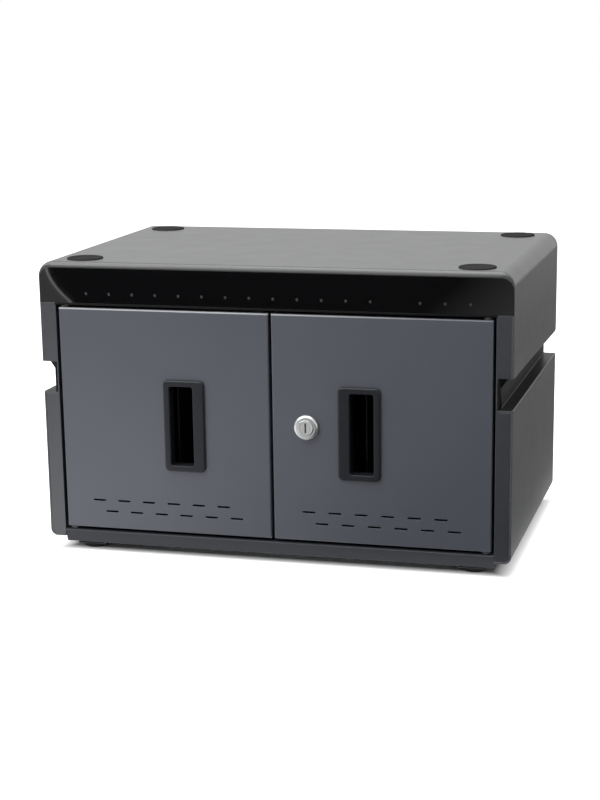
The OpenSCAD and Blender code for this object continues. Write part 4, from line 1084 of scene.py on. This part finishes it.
DRESSED = [
    ("front_frame", FRAME, "cabinet", "shell_plastic", 0.4),
    ("front_sill", SILL, "cabinet", "door_steel", 0.4),
    ("lock_nut", ZINC, "right_door", "zinc_steel", 0.4),
    ("lock_cam", ZINC, "lock_core", "zinc_steel", 0.3),
    ("cam_screw", NICKEL, "lock_core", "lock_metal", 0.3),
    ("led_board", BOARD, "cabinet", "circuit_board", 0.15),
    ("base_plate", ZINC, "cabinet", "zinc_steel", 0.25),
    ("base_rails", BLACK, "cabinet", "zinc_steel", 0.4),
    ("rear_panel", PANEL, "cabinet", "panel_steel", 0.25),
    ("bay_bulkhead", ZINC, "cabinet", "zinc_steel", 0.2),
    ("bay_ceiling", ZINC, "cabinet", "zinc_steel", 0.2),
    ("centre_partition", ZINC, "cabinet", "zinc_steel", 0.2),
    ("lock_strike", ZINC, "cabinet", "zinc_steel", 0.3),
    ("magnet_catches", MAGNET, "cabinet", "magnet", 0.5),
    ("slot_tray_left", BLACK, "cabinet", "black_plastic", 0.3),
    ("slot_tray_right", BLACK, "cabinet", "black_plastic", 0.3),
    ("usb_hub_left", BLACK, "cabinet", "black_plastic", 0.8),
    ("usb_hub_right", BLACK, "cabinet", "black_plastic", 0.8),
    ("bulkhead_grommets", FOOT_RUBBER, "cabinet", "rubber", 0.4),
    ("power_supply", ZINC, "cabinet", "zinc_steel", 0.5),
    ("fan_frames", BLACK, "cabinet", "black_plastic", 0.5),
    ("power_inlet", BLACK, "cabinet", "black_plastic", 0.4),
    ("inlet_pins", CONTACT, "cabinet", "contact_metal", 0.25),
    ("power_switch_frame", BLACK, "cabinet", "black_plastic", 0.4),
    ("power_rocker", ROCKER, "rocker", "rocker_plastic", 0.4),
    ("hinge_pins", NICKEL, "cabinet", "lock_metal", 0.3),
    ("hinge_bushes_left", NYLON, "left_door", "nylon", 0.2),
    ("hinge_bushes_right", NYLON, "right_door", "nylon", 0.2),
    ("bolt_guides", ZINC, "left_door", "zinc_steel", 0.3),
    ("left_bolt", NICKEL, "left_bolt", "lock_metal", 0.4),
    ("hub_ports_left", CONTACT, "cabinet", "contact_metal", 0.08),
    ("hub_ports_right", CONTACT, "cabinet", "contact_metal", 0.08),
]


def dressed_pieces():
    """Pieces that keep their solids' shapes: node, finish, body, slot and width of the rounded edges."""
    for node, finish, body, slot, width in DRESSED:
        place(dressed(node, finish, width * MM), body, slot, node)


def divider_plate(low, high):
    """A plate in Y-Z with a round upper front corner."""
    r = DIVIDER_CORNER_R
    line = [(low.y, low.z), (high.y, low.z), (high.y, high.z)]
    line += [(low.y + r - r * math.sin(turn), high.z - r + r * math.cos(turn)) for turn in quarter(12)]
    points = [(x, y, z) for x in (-DIVIDER_T / 2, DIVIDER_T / 2) for y, z in line]
    faces = ring_faces(2, len(line)) + end_caps(2, len(line))
    return rounded_edges(outward(mesh_object("divider", points, faces, BLACK)), 0.5 * MM, 3, 40)


def divider_rows():
    """Divider plates in each bay."""
    for node in ("dividers_left", "dividers_right"):
        low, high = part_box(node)
        step = (high.x - low.x - DIVIDER_T) / (DIVIDER_COUNT - 1)
        row = repeated(node + "_piece", divider_plate(low, high), BLACK, DIVIDER_COUNT,
                       (low.x + DIVIDER_T / 2, 0, 0), (step, 0, 0))
        place(row, "cabinet", "black_plastic", node)


def rotor_cup(front, rear, back, middle):
    """A rotor's cup, closed in front, with its pin behind."""
    profile = [(0, front), (FAN_HUB_R - 1.5 * MM, front), (FAN_HUB_R - 0.4 * MM, front + 0.4 * MM),
               (FAN_HUB_R, front + 1.5 * MM), (FAN_HUB_R, rear), (FAN_PIN_R, rear), (FAN_PIN_R, back)]
    return turned("cup", profile, middle, BLACK, 48)


def rotor_blade(front, rear, tip_r):
    """One curved, twisted blade, its sections wider and less tilted towards the tip."""
    across, along = 8, 10
    line = [j / across - 0.5 for j in range(across + 1)]
    points = []
    for share in [k / along for k in range(along + 1)]:
        r = FAN_HUB_R - 0.5 * MM + (tip_r - FAN_HUB_R - 0.1 * MM) * share
        pitch = math.radians(48 - 20 * share)
        chord = (15 + 7 * share) * MM
        for face, u in [(1, u) for u in line] + [(-1, -u) for u in line]:
            bulge = 1 - (2 * u) ** 2
            out = 1.6 * MM * bulge + face * (0.72 * MM * bulge ** 0.5 + 0.1 * MM)
            deep = u * chord * math.sin(pitch) + out * math.cos(pitch)
            sweep = u * chord * math.cos(pitch) - out * math.sin(pitch)
            turn = sweep / r + 0.25 * share
            y = max(front + FAN_RIM, min(rear - FAN_RIM, (front + rear) / 2 + deep * 0.92))
            points.append((r * math.cos(turn), y, r * math.sin(turn)))
    size = 2 * len(line)
    faces = ring_faces(along + 1, size) + end_caps(along + 1, size)
    return outward(mesh_object("blade", points, faces, BLACK))


def fan_rotors():
    """Rotors: a cup with blades around it."""
    for body, node in (("fan_left", "fan_rotor_left"), ("fan_right", "fan_rotor_right")):
        low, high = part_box(node)
        middle = tuple(middle_of(node))
        front, back = low.y - middle[1], high.y - middle[1]
        rear = front + FAN_CUP_L
        blade = rotor_blade(front, rear, min(high.z - low.z, high.x - low.x) / 2)
        blades = carried("blades", AROUND, blade, count=FAN_BLADES, middle=middle, finish=BLACK)
        rotor = joined(node + "_piece", [rotor_cup(front, rear, back, middle), blades])
        place(smooth(rotor, 35), body, "black_plastic", node)


def island_middles(node):
    """Middles in X-Z of a node's separate bodies."""
    bm = bmesh.new()
    bm.from_mesh(frame["nodes"][node].data)
    bmesh.ops.remove_doubles(bm, verts=bm.verts, dist=1e-6)
    middles, unseen = [], set(bm.verts)
    while unseen:
        stack, island = [unseen.pop()], []
        while stack:
            vert = stack.pop()
            island.append(vert.co.copy())
            near = {edge.other_vert(vert) for edge in vert.link_edges} & unseen
            unseen -= near
            stack += near
        xs, zs = [p.x for p in island], [p.z for p in island]
        middles.append(((min(xs) + max(xs)) / 2, (min(zs) + max(zs)) / 2))
    bm.free()
    return sorted(middles)


def countersunk_screw():
    """A screw with a cross recess, its head at the origin."""
    profile = [(0, 0), (SCREW_HEAD_R - 0.8 * MM, 0), (SCREW_HEAD_R - 0.2 * MM, -0.5 * MM),
               (SCREW_HEAD_R, -1.1 * MM), (SCREW_HEAD_R - 0.1 * MM, -1.6 * MM), (SCREW_R, -1.61 * MM),
               (SCREW_R, -SCREW_L + 0.5 * MM), (SCREW_R - 0.75 * MM, -SCREW_L)]
    screw = turned("screw", profile, (0, 0, 0), ZINC, 32)
    for width, height, low in ((CROSS_L, CROSS_W, -0.8 * MM), (CROSS_W, CROSS_L, -0.81 * MM)):
        cut(screw, block("bar", (-width / 2, low, -height / 2), (width / 2, 0.5 * MM, height / 2), ZINC))
    return smooth(screw, 30)


def rear_screws():
    """Screws at the places of the frame's screws."""
    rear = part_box("rear_screws")[1].y
    places = [(x, rear, z) for x, z in island_middles("rear_screws")]
    screws = carried("rear_screws_piece", AT_POINTS, countersunk_screw(), places, finish=ZINC)
    place(screws, "cabinet", "zinc_steel", "rear_screws")


# ---- floor, light and camera ----

def seen_directly(graph):
    """1 for what the camera, a reflection or a clear body shows, 0 for what lights the object."""
    path = graph("ShaderNodeLightPath").outputs
    return graph.maths("ADD", graph.maths("ADD", path["Is Camera Ray"], path["Is Glossy Ray"]),
                       path["Is Transmission Ray"])


def painted_shadow_under_case(graph, where):
    """0 on the floor under the case, rising to 1 just outside it; where it is 0 the floor's glow is gone,
    a painted shadow.
    """
    edge = (HALF_W - 4 * MM, -FRONT_Y - 4 * MM, 0)
    past = graph.vector("SUBTRACT", graph.vector("ABSOLUTE", where), edge)
    axes = graph("ShaderNodeSeparateXYZ", Vector=past).outputs
    reach = graph.maths("MAXIMUM", axes["X"], axes["Y"])
    return graph("ShaderNodeMapRange", Value=reach, From_Min=-20 * MM, From_Max=6 * MM).outputs[0]


def floor_material():
    """White far away and near white around the object, so that its shadow stays; under the case the glow
    is taken away, which paints a shadow there.
    """
    material = bpy.data.materials.new("floor")
    material.use_nodes = True
    graph = Graph(material.node_tree)
    nodes = material.node_tree.nodes
    nodes.remove(nodes["Principled BSDF"])
    where = graph("ShaderNodeTexCoord").outputs["Object"]
    away = graph("ShaderNodeVectorMath", {"operation": "LENGTH"}, i0=where).outputs["Value"]
    glow = graph("ShaderNodeMapRange", Value=away, From_Min=0.5, From_Max=2.0, To_Min=FLOOR_NEAR)
    # painted shadow: no glow on the floor under the case
    glow = graph.maths("MULTIPLY", glow.outputs[0], painted_shadow_under_case(graph, where))
    matt = graph("ShaderNodeBsdfDiffuse", Color=(0.8, 0.8, 0.8, 1))
    shine = graph("ShaderNodeEmission", Color=(1, 1, 1, 1),
                  Strength=graph.maths("MULTIPLY", seen_directly(graph), glow))
    both = graph("ShaderNodeAddShader", i0=matt.outputs[0], i1=shine.outputs[0])
    graph.tree.links.new(both.outputs[0], nodes["Material Output"].inputs["Surface"])
    return material


def floor():
    """The floor, far past what the camera sees."""
    corners = lying(-FLOOR_HALF, FLOOR_HALF, -FLOOR_HALF, FLOOR_HALF, 0)
    mesh_object("floor", corners, [(0, 1, 2, 3)], floor_material())


def lying(x0, x1, y0, y1, height=2 * MM):
    """Corners of a board that lies flat."""
    return [(x0, y0, height), (x1, y0, height), (x1, y1, height), (x0, y1, height)]


def upright(x0, x1, y, z0, z1):
    """Corners of a board that stands across the view."""
    return [(x0, y, z0), (x1, y, z0), (x1, y, z1), (x0, y, z1)]


def card(name, corners, finish):
    """A studio board, there only for reflections."""
    board = mesh_object(name, corners, [(0, 1, 2, 3)], finish)
    board.visible_camera = False
    board.visible_diffuse = False
    board.visible_transmission = False
    board.visible_volume_scatter = False
    board.visible_shadow = False


def card_finish(name, build):
    """A board's own brightness, from a function of its graph and place."""
    material = bpy.data.materials.new(name)
    material.use_nodes = True
    graph = Graph(material.node_tree)
    nodes = material.node_tree.nodes
    nodes.remove(nodes["Principled BSDF"])
    axes = graph("ShaderNodeSeparateXYZ", Vector=graph("ShaderNodeTexCoord").outputs["Object"]).outputs
    shine = graph("ShaderNodeEmission", Color=(1, 1, 1, 1), Strength=build(graph, axes))
    graph.tree.links.new(shine.outputs[0], nodes["Material Output"].inputs["Surface"])
    return material


def floor_mirror(x, z):
    """Where on the floor the camera sees itself reflected off to by a point of the front."""
    reach = z / (CAMERA_AT[2] - z)
    return x + (x - CAMERA_AT[0]) * reach, FRONT_Y + (CAMERA_AT[1] - FRONT_Y) * reach


def strip_card_shade(graph, axes):
    """Dark in the middle, greyer to the right, and grey beyond a bowed bright line on the left."""
    top, low = floor_mirror(LINE_TOP_X, STRIP_TOP), floor_mirror(LINE_LOW_X, STRIP_LOW)
    slope = (top[0] - low[0]) / (top[1] - low[1])
    slant = graph.maths("SUBTRACT", axes["X"], graph.maths("MULTIPLY", axes["Y"], slope))
    past = graph.maths("SUBTRACT", slant, low[0] - slope * low[1])
    share = graph("ShaderNodeMapRange", Value=axes["Y"], From_Min=low[1], From_Max=top[1]).outputs[0]
    bow = graph.maths("MULTIPLY", share, graph.maths("SUBTRACT", 1.0, share))
    bow = graph.maths("MULTIPLY", bow, LINE_BOW)
    past = graph.maths("ADD", past, bow)
    right = graph("ShaderNodeMapRange", Value=axes["X"], From_Min=floor_mirror(0.17, STRIP_LOW)[0],
                  From_Max=floor_mirror(0.27, STRIP_LOW)[0], To_Min=0.05, To_Max=0.6)
    dark = graph.maths("MULTIPLY", graph.maths("GREATER_THAN", past, LINE_W), right.outputs[0])
    beyond = graph.maths("MULTIPLY", graph.maths("LESS_THAN", past, 0.0), 0.85)
    line = graph.maths("MULTIPLY", graph.maths("COMPARE", past, LINE_W / 2, LINE_W / 2), 4.5)
    return graph.maths("ADD", graph.maths("ADD", dark, beyond), line)


def door_card_shade(graph, axes):
    """Bright at the left and near the case, dark to the right and away from it."""
    across = graph("ShaderNodeMapRange", Value=axes["X"], From_Min=-0.31, From_Max=0.12,
                   To_Min=1.25, To_Max=0.0)
    along = graph("ShaderNodeMapRange", Value=axes["Y"], From_Min=-1.7, From_Max=-0.5,
                  To_Min=0.0, To_Max=1.35)
    return graph.maths("MULTIPLY", across.outputs[0], along.outputs[0])


def side_card_shade(graph, axes):
    """A little lighter towards the rear."""
    return graph("ShaderNodeMapRange", Value=axes["Y"], From_Min=-0.2, From_Max=1.5, To_Min=0.2,
                 To_Max=0.28).outputs[0]


def front_card_shade(graph, axes):
    """Dark low down and lighter above, so that the doors lie in shade at their tops."""
    return graph("ShaderNodeMapRange", Value=axes["Z"], From_Min=0.6, From_Max=1.6, To_Min=0.1,
                 To_Max=0.8).outputs[0]


def cards():
    """Boards for the strip, the doors and the right side, and one upright far before the case."""
    split = floor_mirror(0, STRIP_LOW - 3 * MM)[1]
    for name, corners, shade in (
            ("strip_card", lying(*BOARD_X, BOARD_Y, split), strip_card_shade),
            ("door_card", lying(*BOARD_X, split, FRONT_Y - 20 * MM), door_card_shade),
            ("side_card", lying(*SIDE_BOARD), side_card_shade),
            ("front_card", upright(*FRONT_BOARD), front_card_shade)):
        card(name, corners, card_finish(name, shade))


def world():
    """White where it is seen, and a dim light on the object."""
    scene = bpy.context.scene
    scene.world = bpy.data.worlds.new("studio")
    scene.world.use_nodes = True
    graph = Graph(scene.world.node_tree)
    strength = graph("ShaderNodeMapRange", Value=seen_directly(graph), To_Min=AMBIENT).outputs[0]
    back = scene.world.node_tree.nodes["Background"]
    back.inputs["Color"].default_value = (1, 1, 1, 1)
    graph.tree.links.new(strength, back.inputs["Strength"])


def lamp(name, where, size, power, aim=(0, 0, 0.17)):
    """A flat lamp turned to the middle of the case."""
    light = bpy.data.lights.new(name, "AREA")
    light.shape = "RECTANGLE"
    light.size, light.size_y = size
    light.energy = power
    obj = bpy.data.objects.new(name, light)
    bpy.context.scene.collection.objects.link(obj)
    obj.matrix_world = (Matrix.Translation(where)
                        @ (Vector(where) - Vector(aim)).to_track_quat("Z", "Y").to_matrix().to_4x4())
    return obj


def lamps():
    lamp("key_light", where=(-1.6, -1.5, 2.0), size=(1.8, 1.4), power=52)
    lamp("top_light", where=(-0.2, -0.2, 2.4), size=(2.2, 1.8), power=60)


def camera():
    """The photograph's point of view, with its small roll."""
    flat = math.cos(CAMERA_ELEVATION)
    back = Vector((math.sin(CAMERA_AZIMUTH) * flat, -math.cos(CAMERA_AZIMUTH) * flat,
                   math.sin(CAMERA_ELEVATION)))
    right = Vector((math.cos(CAMERA_AZIMUTH), math.sin(CAMERA_AZIMUTH), 0))
    up = back.cross(right)
    level, tilt = math.cos(CAMERA_ROLL), math.sin(CAMERA_ROLL)
    data = bpy.data.cameras.new("camera")
    data.lens = CAMERA_LENS
    data.sensor_width = 36
    data.shift_y = CAMERA_SHIFT
    obj = bpy.data.objects.new("camera", data)
    bpy.context.scene.collection.objects.link(obj)
    matrix = Matrix((level * right + tilt * up, level * up - tilt * right, back)).transposed().to_4x4()
    matrix.translation = CAMERA_AT
    obj.matrix_world = matrix
    bpy.context.scene.camera = obj


# ---- everything together ----

camera()
floor()
world()
lamps()
cards()
upper_shell()
lower_sides()
glossy_strip()
status_lights()
stacking_pads()
rubber_feet()
left_door()
right_door()
handle_frame(-1, "left_handle_frame", "left_door")
handle_frame(1, "right_handle_frame", "right_door")
lock_body()
lock_plug()
divider_rows()
fan_rotors()
rear_screws()
dressed_pieces()

bpy.context.scene.view_settings.view_transform = "Standard"
